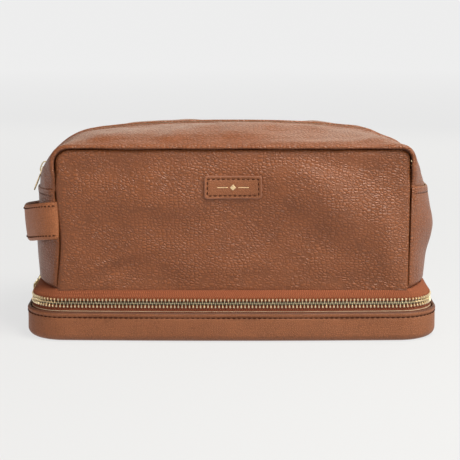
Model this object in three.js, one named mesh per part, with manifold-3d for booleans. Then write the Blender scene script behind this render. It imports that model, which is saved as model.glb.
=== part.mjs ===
// A soft leather shaving kit bag, in millimetres: a zip-top main bag that stands on a shallow
// zip-round base compartment and tips back from it on a leather hinge along the rear edge.
// X runs left to right across the front, Y from front to back, Z up; the origin is the middle
// of the underside. Soft pieces are plain closed plates of the right size and place.
import * as THREE from "three";
import { mergeVertices } from "three/addons/utils/BufferGeometryUtils.js";
import Module from "manifold-3d";

const wasm = await Module();
wasm.setup();

// ---- driving dimensions ------------------------------------------------------------------
const GAP = 0.4; // left free between neighbouring solids
const LEATHER = 2.0; // a leather panel with its backing
const TAPE = 0.7; // woven zip tape

const BASE_HALF_X = 141; // outline of the base compartment, seen from above
const BASE_HALF_Y = 64.5; // at the corners; the front and back bow out past it
const BASE_CORNER = 27;
const BASE_BOW = 3.5;
const BASE_WALL_TOP = 20.3;
const BOTTOM_EDGE = 5; // rounding of the lower edge of the wall
const BOARD = 2.0; // stiffener boards
const LINING = 0.8;
const BASE_LINING_INSET = 5.4;
const BASE_LINING_TOP = 20.8;
const LOWER_TAPE_HEIGHT = 8;

const CHAIN_Z = 26; // the split between the two rows of base zip teeth
const CHAIN_INSET = 4.4; // from the base outline to the middle of the teeth
const TOOTH_HALF_THICK = 1.3;
const TOOTH_OUT = 3.1; // from the split to the outer end of a tooth
const TOOTH_IN = 0.8; // the heads that interlock are left out, so a slider's web can run there
const ZIP_END_X = 112; // where the base zip ends on the rear face
const HINGE_INSET = { lower: 0.2, upper: 0.6 }; // outer faces of the leather hinge
const SHOULDER_INSET = 8.3; // where the upper tape meets the floor of the main bag
const FLOOR_Z = 33.2;
const BAG_Z = 35.6; // the foot of the main bag's panels

const BAG_HALF_Y = 58.5; // front and back seams of the main bag
const SEAM_HALF_X = 122.2;
const SEAM_SHIFT = 0.8; // the seams stand a little to the right of the middle
const SEAM_TOP = 132.2;
const SEAM_CORNER = 11;
const GUSSET_POWER = 2.5; // how squarely the gusset turns in towards its seams
const CROWN_Z = 143; // the top zip line at the middle
const CROWN_DROP = 5.6; // its fall out to the corner
const CROWN_POWER = 2.6;
const CORNER_R = 44.6;
const CORNER_END = (20 * Math.PI) / 180; // end of the corner arc above horizontal
const SIDE_WIDE_Z = 72; // height of the widest part of the side
// The bag is fuller on the right: the half width of the top run, of the side and of its foot.
const LEFT_SIDE = { corner: 97.5, wide: 137.4, foot: 137 };
const RIGHT_SIDE = { corner: 97, wide: 142.5, foot: 135.5 };
const TOP_SHARE = 0.44; // shares of the arch parameter: top run, corner, side
const CORNER_SHARE = 0.64;
// Where the side panel takes over from the corner strips: lower at the seams than between them.
const SIDE_PANEL_TOP = { middle: 0.6845, seam: 0.71 };
const HALF_SLIT = 0.003; // half the gap between two gusset pieces, as an arch parameter
const ZIP_EDGE = 6.5; // from the zip's middle to the folded leather edge
const TAPE_EDGE = 12; // and to the sewn edge of the tape, under the leather
const TAPE_DEPTH = LEATHER + GAP; // the tape's upper face below the leather's surface

// A slider is two blades joined by a web at its nose, under a crown that the pull hangs from.
const SLIDER = { width: 8.4, blade: 0.8, gap: 1.8, corner: 1.6, web: 1, webLength: 3, nose: 0.6 };
const CROWN = { width: 2, bar: 0.8, leg: 1.2, shoulder: 0.6 };
const TOP_SLIDER = { length: 9.2, crownLength: 8.6, rise: 3.4 };
const BASE_SLIDER = { length: 8.6, crownLength: 7, rise: 2.5 };
const PULL = { length: 17, width: 5.6, thick: 0.9, eyeLength: 5.2, eyeWidth: 3, bar: 0.9, rim: 0.9 };
const TOP_SLIDER_ANGLE = 22.5; // degrees above horizontal on the corner arc
const FRONT_SLIDER_Y = 3.4;
const REAR_SLIDER_Y = 12.6;

const STRAP = { width: 25.4, endZ: 81, sag: 9, clear: 0.9, bow: 4.9, outer: 1.3, inner: 1.1 };
const STRAP_REACH = 0.975; // share of the way from the middle to each seam
const PATCH = { x: 1, z: 104.6, width: 38.6, height: 14.8, thick: 1.2, corner: 2 };
const LINER = { halfX: 121, halfY: 54, corner: 14, top: 104 };

// ---- how finely curves are cut -----------------------------------------------------------
const STATION_SPACING = 28; // along the bowed front and back of the base
const BASE_CORNER_PIECES = 5;
const TOP_PIECES = 12;
const CORNER_PIECES = 8;
const SIDE_PIECES = 5;
const STRAP_PIECES = 22;
const HINGE_PIECES = 4; // on each side of the middle

// ---- materials ---------------------------------------------------------------------------
const finish = (color, roughness, metalness = 0) =>
  new THREE.MeshStandardMaterial({ color, roughness, metalness });
const PEBBLED = finish(0x9c5f42, 0.5);
const SMOOTH = finish(0x96583b, 0.48);
const LINING_CLOTH = finish(0x8a7a66, 0.9);
const TAPE_CLOTH = finish(0xa05a3a, 0.85);
const BRASS = finish(0xc9b27c, 0.3, 1);
const BOARD_GREY = finish(0x6a6259, 0.9);

const bag = new THREE.Group();

/** Adds a mesh of this geometry to the bag under a name. */
function add(name, geometry, material) {
  const mesh = new THREE.Mesh(geometry, material);
  mesh.name = name;
  bag.add(mesh);
  return mesh;
}

// ---- solids ------------------------------------------------------------------------------
function toManifold(geometry) {
  const bare = geometry.clone();
  bare.deleteAttribute("normal");
  bare.deleteAttribute("uv");
  const merged = mergeVertices(bare, 1e-4);
  return new wasm.Manifold(
    new wasm.Mesh({
      numProp: 3,
      vertProperties: new Float32Array(merged.attributes.position.array),
      triVerts: new Uint32Array(merged.index.array),
    }),
  );
}

function fromManifold(solid) {
  const mesh = solid.getMesh();
  return new THREE.BufferGeometry()
    .setAttribute("position", new THREE.BufferAttribute(mesh.vertProperties, 3))
    .setIndex(new THREE.BufferAttribute(mesh.triVerts, 1));
}

const join = (...geometries) =>
  fromManifold(geometries.map(toManifold).reduce((a, b) => a.add(b)));
const cut = (a, b) => fromManifold(toManifold(a).subtract(toManifold(b)));

const box = (x0, x1, y0, y1, z0, z1) =>
  new THREE.BoxGeometry(x1 - x0, y1 - y0, z1 - z0).translate(
    (x0 + x1) / 2,
    (y0 + y1) / 2,
    (z0 + z1) / 2,
  );

const count = (n, make) => Array.from({ length: n }, (_, i) => make(i));

/** Values at even steps from one number to another. */
const spread = (from, to, pieces) => count(pieces + 1, (i) => from + ((to - from) * i) / pieces);

/** The triangles that fill a ring of n points, as a fan from its first point. */
const fan = (n) => count(n - 2, (j) => [0, j + 1, j + 2]);

/** The triangles that fill a ring made of an outer row and the same row turned back inside it. */
const strip = (n) =>
  count(n / 2 - 1, (j) => [
    [j, j + 1, n - 2 - j],
    [j, n - 2 - j, n - 1 - j],
  ]).flat();

/** A closed solid from rings of points: each ring joins the next, and the two ends are filled by
 * the triangles that cap gives, unless the rings close into a hoop. Every ring runs the same way
 * round. */
function loft(rings, cap = fan, hoop = false) {
  const across = rings[0].length;
  const position = rings.flat().flatMap((p) => [p.x, p.y, p.z]);
  const index = [];
  const last = hoop ? rings.length : rings.length - 1;
  for (let i = 0; i < last; i++) {
    const a = i * across;
    const b = ((i + 1) % rings.length) * across;
    for (let j = 0; j < across; j++) {
      const k = (j + 1) % across;
      index.push(a + j, b + j, b + k, a + j, b + k, a + k);
    }
  }
  if (!hoop) {
    const end = (rings.length - 1) * across;
    cap(across).forEach(([p, q, r]) => index.push(p, q, r, end + p, end + r, end + q));
  }
  const geometry = new THREE.BufferGeometry()
    .setAttribute("position", new THREE.Float32BufferAttribute(position, 3))
    .setIndex(index);
  return toManifold(geometry).volume() < 0 ? turned(geometry) : geometry;
}

/** The same surface with its faces turned the other way. */
function turned(geometry) {
  const index = Array.from(geometry.index.array);
  for (let i = 0; i < index.length; i += 3) {
    [index[i + 1], index[i + 2]] = [index[i + 2], index[i + 1]];
  }
  return geometry.setIndex(index);
}

// ---- the base outline --------------------------------------------------------------------
/** The outline of the base, from the middle of the back round by the left, front and right. */
function baseOutline() {
  const [hx, hy, r] = [BASE_HALF_X, BASE_HALF_Y, BASE_CORNER];
  const path = new THREE.Path();
  path.moveTo(0, hy).lineTo(-hx + r, hy);
  path.absarc(-hx + r, hy - r, r, Math.PI / 2, Math.PI);
  path.lineTo(-hx, -hy + r);
  path.absarc(-hx + r, -hy + r, r, Math.PI, 1.5 * Math.PI);
  path.lineTo(hx - r, -hy);
  path.absarc(hx - r, -hy + r, r, -Math.PI / 2, 0);
  path.lineTo(hx, hy - r);
  path.absarc(hx - r, hy - r, r, 0, Math.PI / 2);
  path.lineTo(0, hy);
  path.arcLengthDivisions = 2000;
  return path;
}
const OUTLINE = baseOutline();
const OUTLINE_LENGTH = OUTLINE.getLength();
const ZIP_START = ZIP_END_X / OUTLINE_LENGTH; // share of the outline where the zip begins

/** A point of the outline moved in by inset, with the front and back bowed out. */
function outlinePoint(share, inset) {
  const p = OUTLINE.getPointAt(share % 1);
  const t = OUTLINE.getTangentAt(share % 1);
  const x = p.x - t.y * inset;
  const y = p.y + t.x * inset;
  const bow = BASE_BOW * (1 - (x / BASE_HALF_X) ** 2) * (y / BASE_HALF_Y);
  return new THREE.Vector2(x, y + bow);
}

/** Shares of the outline for stations that crowd into the corners. */
function stations(from, to) {
  const marks = [from, to];
  const halfFront = BASE_HALF_X - BASE_CORNER;
  const side = 2 * (BASE_HALF_Y - BASE_CORNER);
  const arc = (BASE_CORNER * Math.PI) / 2;
  const legs = [halfFront, side, 2 * halfFront, side, halfFront];
  let at = 0;
  legs.forEach((leg, i) => {
    const pieces = i % 2 ? 1 : Math.round(leg / STATION_SPACING);
    for (let k = 0; k <= pieces; k++) marks.push((at + (leg * k) / pieces) / OUTLINE_LENGTH);
    at += leg;
    if (i === legs.length - 1) return;
    for (let k = 1; k < BASE_CORNER_PIECES; k++) {
      marks.push((at + (arc * k) / BASE_CORNER_PIECES) / OUTLINE_LENGTH);
    }
    at += arc;
  });
  return [...new Set(marks.map((m) => +m.toFixed(6)))]
    .filter((m) => m >= from - 1e-6 && m <= to + 1e-6)
    .sort((a, b) => a - b);
}

/** A profile of [inset, height] pairs carried along a stretch of the outline, or all round. */
function band(profile, from = 0, to = 1) {
  const hoop = to - from === 1;
  const shares = stations(from, to);
  if (hoop) shares.pop();
  const ring = (share) =>
    profile.map(([inset, z]) => {
      const p = outlinePoint(share, inset);
      return new THREE.Vector3(p.x, p.y, z);
    });
  return loft(shares.map(ring), fan, hoop);
}

/** A flat plate that fills the outline moved in by inset. */
function plate(inset, low, high) {
  const shares = stations(0, 1);
  shares.pop();
  const shape = new THREE.Shape(shares.map((s) => outlinePoint(s, inset)));
  return new THREE.ExtrudeGeometry(shape, { depth: high - low, bevelEnabled: false }).translate(
    0,
    0,
    low,
  );
}

/** A rectangle with round corners as a Shape. */
function roundedRect(halfX, halfY, r) {
  const shape = new THREE.Shape();
  shape.moveTo(-halfX + r, -halfY).lineTo(halfX - r, -halfY);
  shape.absarc(halfX - r, -halfY + r, r, -Math.PI / 2, 0);
  shape.lineTo(halfX, halfY - r).absarc(halfX - r, halfY - r, r, 0, Math.PI / 2);
  shape.lineTo(-halfX + r, halfY).absarc(-halfX + r, halfY - r, r, Math.PI / 2, Math.PI);
  shape.lineTo(-halfX, -halfY + r).absarc(-halfX + r, -halfY + r, r, Math.PI, 1.5 * Math.PI);
  return shape;
}

const slab = (shape, depth, curveSegments = 6) =>
  new THREE.ExtrudeGeometry(shape, { depth, bevelEnabled: false, curveSegments });

// ---- the main bag's gusset ---------------------------------------------------------------
// The gusset is a sheet between two arches seen from the front: the seam arch at the front and
// back panels, and the wider, domed middle arch that the top zip follows. The arch parameter t
// runs from -1 at the left foot, over the top at 0, to 1 at the right foot.
/** The angle above horizontal at which the top run meets the corner arc without a kink. */
const cornerStart = ({ corner }) =>
  Math.PI / 2 - Math.atan((CROWN_DROP * CROWN_POWER) / corner);

/** The centre of a side's corner arc. */
function cornerCentre(half) {
  const angle = cornerStart(half);
  return new THREE.Vector2(
    half.corner - CORNER_R * Math.cos(angle),
    CROWN_Z - CROWN_DROP - CORNER_R * Math.sin(angle),
  );
}

function onCorner(half, angle) {
  const direction = new THREE.Vector2(Math.cos(angle), Math.sin(angle));
  return cornerCentre(half).addScaledVector(direction, CORNER_R);
}

/** The side of the bag below its corner: down a bulge to the foot, at an even pace in height. */
function sideCurve(half) {
  const top = onCorner(half, CORNER_END);
  const pace = (top.y - SIDE_WIDE_Z) / 2;
  return new THREE.SplineCurve([
    new THREE.Vector2(top.x - pace * Math.tan(CORNER_END) * 1.4, top.y + pace),
    top,
    new THREE.Vector2(top.x + (half.wide - top.x) * 0.76, top.y - pace),
    new THREE.Vector2(half.wide, SIDE_WIDE_Z),
    new THREE.Vector2((half.wide + half.foot) / 2 + 0.6, (SIDE_WIDE_Z + BAG_Z) / 2),
    new THREE.Vector2(half.foot, BAG_Z),
  ]);
}
const SIDE_CURVES = new Map([LEFT_SIDE, RIGHT_SIDE].map((half) => [half, sideCurve(half)]));

/** One half of the middle arch, with its X taken outwards. */
function middleArch(t, half) {
  if (t <= TOP_SHARE) {
    const x = (t / TOP_SHARE) * half.corner;
    return new THREE.Vector2(x, CROWN_Z - CROWN_DROP * (x / half.corner) ** CROWN_POWER);
  }
  if (t <= CORNER_SHARE) {
    const k = (t - TOP_SHARE) / (CORNER_SHARE - TOP_SHARE);
    const start = cornerStart(half);
    return onCorner(half, start + (CORNER_END - start) * k);
  }
  const k = (t - CORNER_SHARE) / (1 - CORNER_SHARE);
  const before = 1 / 5; // share of the curve that leads in above the side
  return SIDE_CURVES.get(half).getPoint(before + (1 - before) * k);
}

/** One half of the seam arch, about the middle of the seams. */
function seamArch(t) {
  const [cx, cz] = [SEAM_HALF_X - SEAM_CORNER, SEAM_TOP - SEAM_CORNER];
  if (t <= TOP_SHARE) return new THREE.Vector2((t / TOP_SHARE) * cx, SEAM_TOP);
  if (t <= CORNER_SHARE) {
    const k = (t - TOP_SHARE) / (CORNER_SHARE - TOP_SHARE);
    const angle = (Math.PI / 2) * (1 - k);
    return new THREE.Vector2(
      cx + SEAM_CORNER * Math.cos(angle),
      cz + SEAM_CORNER * Math.sin(angle),
    );
  }
  const k = (t - CORNER_SHARE) / (1 - CORNER_SHARE);
  return new THREE.Vector2(SEAM_HALF_X, cz + (BAG_Z - cz) * k);
}

/** A point of an arch moved out of the bag by lift, square to the arch. */
function lifted(arch, t, lift) {
  const side = Math.sign(t) || 1;
  const half = side < 0 ? LEFT_SIDE : RIGHT_SIDE;
  const at = Math.abs(t);
  const p = arch(at, half);
  const step = 1e-3;
  const before = arch(Math.max(at - step, 0), half);
  const ahead = arch(Math.min(at + step, 1), half).sub(before).normalize();
  return new THREE.Vector2(side * (p.x - ahead.y * lift), p.y + ahead.x * lift);
}

/** A point of the gusset: w is -1 at the front seam, 0 at the zip line and 1 at the back seam. */
function gussetPoint(t, w, lift = 0) {
  const middle = lifted(middleArch, t, lift);
  const seam = lifted(seamArch, t, lift);
  seam.x += SEAM_SHIFT;
  const p = middle.lerp(seam, Math.abs(w) ** GUSSET_POWER);
  return new THREE.Vector3(p.x, w * BAG_HALF_Y, p.y);
}

/** A plate of the gusset over a list of w values. A ring runs along w, and its arch parameter is
 * a share of the way between from(w) and to(w). */
function gussetPlate(from, to, pieces, ws) {
  const ring = (share) => {
    const at = (lift) => (w) => gussetPoint(from(w) + (to(w) - from(w)) * share, w, lift);
    return [...ws.map(at(0)), ...[...ws].reverse().map(at(-LEATHER))];
  };
  return loft(spread(0, 1, pieces).map(ring), strip);
}

/** A strip along the middle arch, between two Y values and two lifts. */
function ribbon(ts, y0, y1, low, high) {
  const at = (t, y, lift) => {
    const p = lifted(middleArch, t, lift);
    return new THREE.Vector3(p.x, y, p.y);
  };
  return loft(ts.map((t) => [at(t, y0, low), at(t, y1, low), at(t, y1, high), at(t, y0, high)]));
}

// ---- the base compartment ----------------------------------------------------------------
function buildBase() {
  const r = BOTTOM_EDGE;
  const bend = (radius) =>
    spread(0, Math.PI / 2, 3).map((a) => [r - radius * Math.cos(a), r - radius * Math.sin(a)]);
  const inside = bend(r - LEATHER).reverse();
  add(
    "base_wall",
    band([[0, BASE_WALL_TOP], ...bend(r), ...inside, [LEATHER, BASE_WALL_TOP]]),
    SMOOTH,
  );
  add("base_bottom_panel", plate(r + GAP, 0, LEATHER), SMOOTH);
  const boardLow = LEATHER + GAP;
  add("base_board", plate(r + 2, boardLow, boardLow + BOARD), BOARD_GREY);
  const floor = boardLow + BOARD + GAP;
  add(
    "base_lining",
    cut(
      plate(BASE_LINING_INSET, floor, BASE_LINING_TOP),
      plate(BASE_LINING_INSET + LINING, floor + LINING, BASE_LINING_TOP + 1),
    ),
    LINING_CLOTH,
  );

  const outer = CHAIN_INSET - TOOTH_HALF_THICK;
  const inner = CHAIN_INSET + TOOTH_HALF_THICK;
  const teeth = (low, high) =>
    band([[outer, low], [outer, high], [inner, high], [inner, low]], ZIP_START, 1 - ZIP_START);
  const tapeFace = CHAIN_INSET - TAPE / 2;
  const tapeTop = CHAIN_Z - TOOTH_OUT - GAP;
  add(
    "base_zip_tape_lower",
    band(
      [
        [tapeFace, tapeTop - LOWER_TAPE_HEIGHT],
        [tapeFace, tapeTop],
        [tapeFace + TAPE, tapeTop],
        [tapeFace + TAPE, tapeTop - LOWER_TAPE_HEIGHT],
      ],
      ZIP_START,
      1 - ZIP_START,
    ),
    TAPE_CLOTH,
  );
  add("base_zip_teeth_lower", teeth(CHAIN_Z - TOOTH_OUT, CHAIN_Z - TOOTH_IN), BRASS);
  add("base_zip_teeth_upper", teeth(CHAIN_Z + TOOTH_IN, CHAIN_Z + TOOTH_OUT), BRASS);

  const foot = CHAIN_Z + TOOTH_OUT + GAP;
  const shoulder = FLOOR_Z + 1;
  add(
    "base_zip_tape_upper",
    band(
      [
        [tapeFace, foot],
        [tapeFace, foot + 1.2],
        [SHOULDER_INSET, shoulder + TAPE],
        [SHOULDER_INSET, shoulder],
        [tapeFace + TAPE, foot + 0.8],
        [tapeFace + TAPE, foot],
      ],
      ZIP_START,
      1 - ZIP_START,
    ),
    TAPE_CLOTH,
  );

  // The leather hinge between the two ends of the zip, as the half below the fold and the half
  // above it. A band that passes the start of the outline is one of shares beyond 1.
  const rear = (ZIP_END_X - GAP) / OUTLINE_LENGTH;
  const across = (profile) => {
    const shares = spread(-rear, rear, 2 * HINGE_PIECES).map((s) => (s + 1) % 1);
    return loft(
      shares.map((s) =>
        profile.map(([inset, z]) => {
          const p = outlinePoint(s, inset);
          return new THREE.Vector3(p.x, p.y, z);
        }),
      ),
    );
  };
  add(
    "rear_hinge_lower",
    across([
      [HINGE_INSET.lower, BASE_WALL_TOP + GAP],
      [HINGE_INSET.lower, CHAIN_Z - GAP],
      [LEATHER, CHAIN_Z - GAP],
      [LEATHER, BASE_WALL_TOP + GAP],
    ]),
    SMOOTH,
  );
  add(
    "rear_hinge_upper",
    across([
      [HINGE_INSET.upper, CHAIN_Z + GAP],
      [HINGE_INSET.upper, CHAIN_Z + 2.5],
      [SHOULDER_INSET, FLOOR_Z + 1.4],
      [SHOULDER_INSET, FLOOR_Z],
      [LEATHER, CHAIN_Z + 2.2],
      [LEATHER, CHAIN_Z + GAP],
    ]),
    SMOOTH,
  );
}

// ---- the main bag ------------------------------------------------------------------------
/** The front or back panel, set inside the rim of the gusset. */
function bagPanel(outerY) {
  const halfX = SEAM_HALF_X - LEATHER - GAP;
  const top = SEAM_TOP - LEATHER - GAP;
  const r = SEAM_CORNER - LEATHER - GAP;
  const shape = new THREE.Shape();
  shape.moveTo(-halfX, BAG_Z).lineTo(halfX, BAG_Z).lineTo(halfX, top - r);
  shape.absarc(halfX - r, top - r, r, 0, Math.PI / 2);
  shape.lineTo(-halfX + r, top).absarc(-halfX + r, top - r, r, Math.PI / 2, Math.PI);
  const panel = slab(shape, LEATHER, 5).rotateX(Math.PI / 2);
  return panel.translate(SEAM_SHIFT, outerY < 0 ? outerY + LEATHER : outerY, 0);
}

function buildMainBag() {
  add("front_panel", bagPanel(-BAG_HALF_Y), PEBBLED);
  add("back_panel", bagPanel(BAG_HALF_Y), PEBBLED);
  add("floor_panel", plate(SHOULDER_INSET + GAP, FLOOR_Z, FLOOR_Z + LEATHER), SMOOTH);
  add(
    "floor_board",
    slab(roundedRect(LINER.halfX, LINER.halfY, LINER.corner), BOARD).translate(0, 0, BAG_Z),
    BOARD_GREY,
  );
  const liningFoot = BAG_Z + BOARD + GAP;
  const liner = (inset, low) =>
    slab(
      roundedRect(LINER.halfX - inset, LINER.halfY - inset, LINER.corner - inset),
      LINER.top - low + inset,
    ).translate(0, 0, low);
  add("main_lining", cut(liner(0, liningFoot), liner(LINING, liningFoot + LINING)), LINING_CLOTH);

  const across = [-1, -0.9, -0.78, -0.64, -0.45, -0.2, 0.2, 0.45, 0.64, 0.78, 0.9, 1];
  const edge = ZIP_EDGE / BAG_HALF_Y;
  const half = [-1, -0.9, -0.78, -0.64, -0.45, -0.25, -edge];
  const other = half.map((w) => -w).reverse();
  const even = (value) => () => value;
  const sideTop = (w) =>
    SIDE_PANEL_TOP.middle +
    (SIDE_PANEL_TOP.seam - SIDE_PANEL_TOP.middle) * Math.abs(w) ** GUSSET_POWER;
  [
    ["left", -1],
    ["right", 1],
  ].forEach(([name, side]) => {
    const cornerTop = even(side * (TOP_SHARE + HALF_SLIT));
    const cornerFoot = (w) => side * (sideTop(w) - HALF_SLIT);
    const panelTop = (w) => side * (sideTop(w) + HALF_SLIT);
    add(`${name}_side_panel`, gussetPlate(panelTop, even(side), SIDE_PIECES, across), PEBBLED);
    const strip = (ws) => gussetPlate(cornerTop, cornerFoot, CORNER_PIECES, ws);
    add(`${name}_corner_strip_front`, strip(half), PEBBLED);
    add(`${name}_corner_strip_back`, strip(other), PEBBLED);
    buildZipRun(`${name}_zip_end`, spread(cornerTop(0), cornerFoot(0), CORNER_PIECES));
  });
  const end = TOP_SHARE - HALF_SLIT;
  const topStrip = (ws) => gussetPlate(even(-end), even(end), TOP_PIECES, ws);
  add("top_strip_front", topStrip(half), PEBBLED);
  add("top_strip_back", topStrip(other), PEBBLED);
  buildZipRun("top_zip", spread(-end, end, TOP_PIECES));
}

/** The tape and the row of teeth on each side of one stretch of the top zip. */
function buildZipRun(name, ts) {
  const tape = [-TAPE_DEPTH - TAPE, -TAPE_DEPTH];
  const middle = -TAPE_DEPTH - TAPE / 2;
  const teeth = [middle - TOOTH_HALF_THICK, middle + TOOTH_HALF_THICK];
  [
    ["front", -1],
    ["back", 1],
  ].forEach(([half, side]) => {
    const run = (from, to, [low, high]) => {
      const [y0, y1] = [side * from, side * to].sort((a, b) => a - b);
      return ribbon(ts, y0, y1, low, high);
    };
    add(`${name}_tape_${half}`, run(TOOTH_OUT + GAP, TAPE_EDGE, tape), TAPE_CLOTH);
    add(`${name}_teeth_${half}`, run(TOOTH_IN, TOOTH_OUT, teeth), BRASS);
  });
}

// ---- the side handle ---------------------------------------------------------------------
/** One layer of the handle: sewn in at both seams, it bows away from the side and sags. */
function strapLayer(inner, thick) {
  const swell = (w) => 1 - Math.abs(w) ** GUSSET_POWER;
  const t = -(CORNER_SHARE + (1 - CORNER_SHARE) * 0.5);
  const ring = (w) => {
    const face = gussetPoint(t, w).x - STRAP.clear - STRAP.bow * swell(w);
    const middle = STRAP.endZ - STRAP.sag * swell(w);
    return [
      [face - inner, -1],
      [face - inner, 1],
      [face - inner - thick, 1],
      [face - inner - thick, -1],
    ].map(([x, end]) => new THREE.Vector3(x, w * BAG_HALF_Y, middle + (end * STRAP.width) / 2));
  };
  return loft(spread(-STRAP_REACH, STRAP_REACH, STRAP_PIECES).map(ring));
}

function buildHandle() {
  add("handle_strap_inner", strapLayer(0, STRAP.inner), SMOOTH);
  add("handle_strap_outer", strapLayer(STRAP.inner + GAP, STRAP.outer), PEBBLED);
}

function buildPatch() {
  const shape = roundedRect(PATCH.width / 2, PATCH.height / 2, PATCH.corner);
  const patch = slab(shape, PATCH.thick).rotateX(Math.PI / 2);
  add("label_patch", patch.translate(PATCH.x, -BAG_HALF_Y - GAP, PATCH.z), SMOOTH);
}

// ---- zip sliders and pulls ---------------------------------------------------------------
// In a slider's own frame X runs along the zip, towards the end where the teeth stand apart, Y
// across the teeth and Z out of the tape, with 0 at the middle of the teeth.
function sliderGeometry({ length, crownLength, rise }) {
  const { width, blade, gap, corner, web, webLength } = SLIDER;
  const shape = roundedRect(length / 2, width / 2, corner);
  const outer = slab(shape, blade, 3).translate(0, 0, gap);
  const inner = slab(shape, blade, 3).translate(0, 0, -gap - blade);
  const overlap = 0.2; // of parts that are joined into one
  const nose = length / 2 - SLIDER.nose;
  const bridge = box(nose - webLength, nose, -web / 2, web / 2, -gap - overlap, gap + overlap);
  const half = crownLength / 2;
  const under = half - CROWN.leg;
  const arch = new THREE.Shape();
  arch.moveTo(-half, -overlap).lineTo(-half, rise * CROWN.shoulder);
  arch.quadraticCurveTo(-half * 0.7, rise, 0, rise);
  arch.quadraticCurveTo(half * 0.7, rise, half, rise * CROWN.shoulder);
  arch.lineTo(half, -overlap).lineTo(under, -overlap);
  arch.lineTo(under, rise * CROWN.shoulder - 0.2).lineTo(under - 1, rise - CROWN.bar);
  arch.lineTo(1 - under, rise - CROWN.bar).lineTo(-under, rise * CROWN.shoulder - 0.2);
  arch.lineTo(-under, -overlap);
  const crown = slab(arch, CROWN.width, 3)
    .rotateX(Math.PI / 2)
    .translate(0, CROWN.width / 2, gap + blade);
  return join(outer, inner, bridge, crown);
}

/** The height of the pull's pivot above the middle of the teeth: half way up inside the crown. */
const pivotHeight = ({ rise }) => SLIDER.gap + SLIDER.blade + (rise - CROWN.bar) / 2;

/** A pull lying flat along -X from its pivot, which is at the origin. */
function pullGeometry() {
  const { length, width, thick, eyeLength, eyeWidth, bar, rim } = PULL;
  const outline = new THREE.Shape();
  const neck = eyeWidth / 2 + rim;
  const flare = -eyeLength - rim; // where the neck starts to widen into the tab
  const tab = flare - 1.5;
  const round = 1.5 - length;
  outline.moveTo(bar / 2, -neck).lineTo(bar / 2, neck).lineTo(flare, neck);
  outline.lineTo(tab, width / 2).lineTo(round, width / 2);
  outline.quadraticCurveTo(-length, width / 2, -length, 0);
  outline.quadraticCurveTo(-length, -width / 2, round, -width / 2);
  outline.lineTo(tab, -width / 2).lineTo(flare, -neck);
  const eye = new THREE.Path();
  eye.moveTo(-bar / 2, -eyeWidth / 2).lineTo(-eyeLength, -eyeWidth / 2);
  eye.lineTo(-eyeLength, eyeWidth / 2).lineTo(-bar / 2, eyeWidth / 2);
  outline.holes.push(eye);
  return slab(outline, thick, 4).translate(0, 0, -thick / 2);
}

/** A slider and its pull, which lies towards the nose for 1 and away from it for -1. */
function addSlider(name, size, place, nose, out, lies) {
  const group = new THREE.Group();
  const across = new THREE.Vector3().crossVectors(out, nose);
  group.quaternion.setFromRotationMatrix(new THREE.Matrix4().makeBasis(nose, across, out));
  group.position.copy(place);
  const slider = new THREE.Mesh(sliderGeometry(size), BRASS);
  slider.name = `${name}_slider`;
  const pull = new THREE.Mesh(pullGeometry(), BRASS);
  pull.name = `${name}_pull`;
  pull.position.z = pivotHeight(size);
  pull.rotation.z = lies > 0 ? Math.PI : 0;
  group.add(slider, pull);
  bag.add(group);
}

function buildSliders() {
  // The top slider stands at the left end of its closed zip, and its pull hangs down.
  const angle = (TOP_SLIDER_ANGLE * Math.PI) / 180;
  const reach = CORNER_R - TAPE_DEPTH - TAPE / 2;
  const centre = cornerCentre(LEFT_SIDE);
  const down = new THREE.Vector3(-Math.sin(angle), 0, -Math.cos(angle));
  const out = new THREE.Vector3(-Math.cos(angle), 0, Math.sin(angle));
  const at = new THREE.Vector3(-centre.x, 0, centre.y).addScaledVector(out, reach);
  addSlider("top_zip", TOP_SLIDER, at, down, out, 1);
  // Two sliders meet nose to nose on the left side of the base zip, their pulls trailing.
  const left = new THREE.Vector3(-1, 0, 0);
  [
    ["base_zip_front", FRONT_SLIDER_Y, 1],
    ["base_zip_rear", REAR_SLIDER_Y, -1],
  ].forEach(([name, y, nose]) => {
    const place = new THREE.Vector3(-BASE_HALF_X + CHAIN_INSET, y, CHAIN_Z);
    addSlider(name, BASE_SLIDER, place, new THREE.Vector3(0, nose, 0), left, -1);
  });
}

buildBase();
buildMainBag();
buildHandle();
buildPatch();
buildSliders();

export default bag;
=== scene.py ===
"""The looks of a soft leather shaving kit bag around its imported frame.

Lengths in this script are in millimetres, as on a maker's drawing, and turn into metres where a
mesh is made. X runs left to right across the front, Y from front to back, Z up.
"""

import math

import bpy
import numpy as np
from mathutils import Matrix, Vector, noise


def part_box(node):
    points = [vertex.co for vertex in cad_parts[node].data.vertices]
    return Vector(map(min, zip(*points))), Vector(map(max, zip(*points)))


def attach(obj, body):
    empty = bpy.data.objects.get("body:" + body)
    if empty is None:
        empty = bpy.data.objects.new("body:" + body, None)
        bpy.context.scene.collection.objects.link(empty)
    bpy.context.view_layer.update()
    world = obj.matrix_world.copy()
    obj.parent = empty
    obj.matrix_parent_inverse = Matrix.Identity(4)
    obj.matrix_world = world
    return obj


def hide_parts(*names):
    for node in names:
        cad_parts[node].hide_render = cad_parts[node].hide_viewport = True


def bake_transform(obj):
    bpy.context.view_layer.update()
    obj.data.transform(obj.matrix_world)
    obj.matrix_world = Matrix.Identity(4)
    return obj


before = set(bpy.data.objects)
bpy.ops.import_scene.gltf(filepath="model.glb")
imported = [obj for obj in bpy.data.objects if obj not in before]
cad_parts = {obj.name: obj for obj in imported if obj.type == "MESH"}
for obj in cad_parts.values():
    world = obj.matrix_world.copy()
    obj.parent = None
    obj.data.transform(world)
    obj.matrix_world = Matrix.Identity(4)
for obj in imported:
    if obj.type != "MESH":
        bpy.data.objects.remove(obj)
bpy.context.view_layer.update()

MM = 0.001


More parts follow.
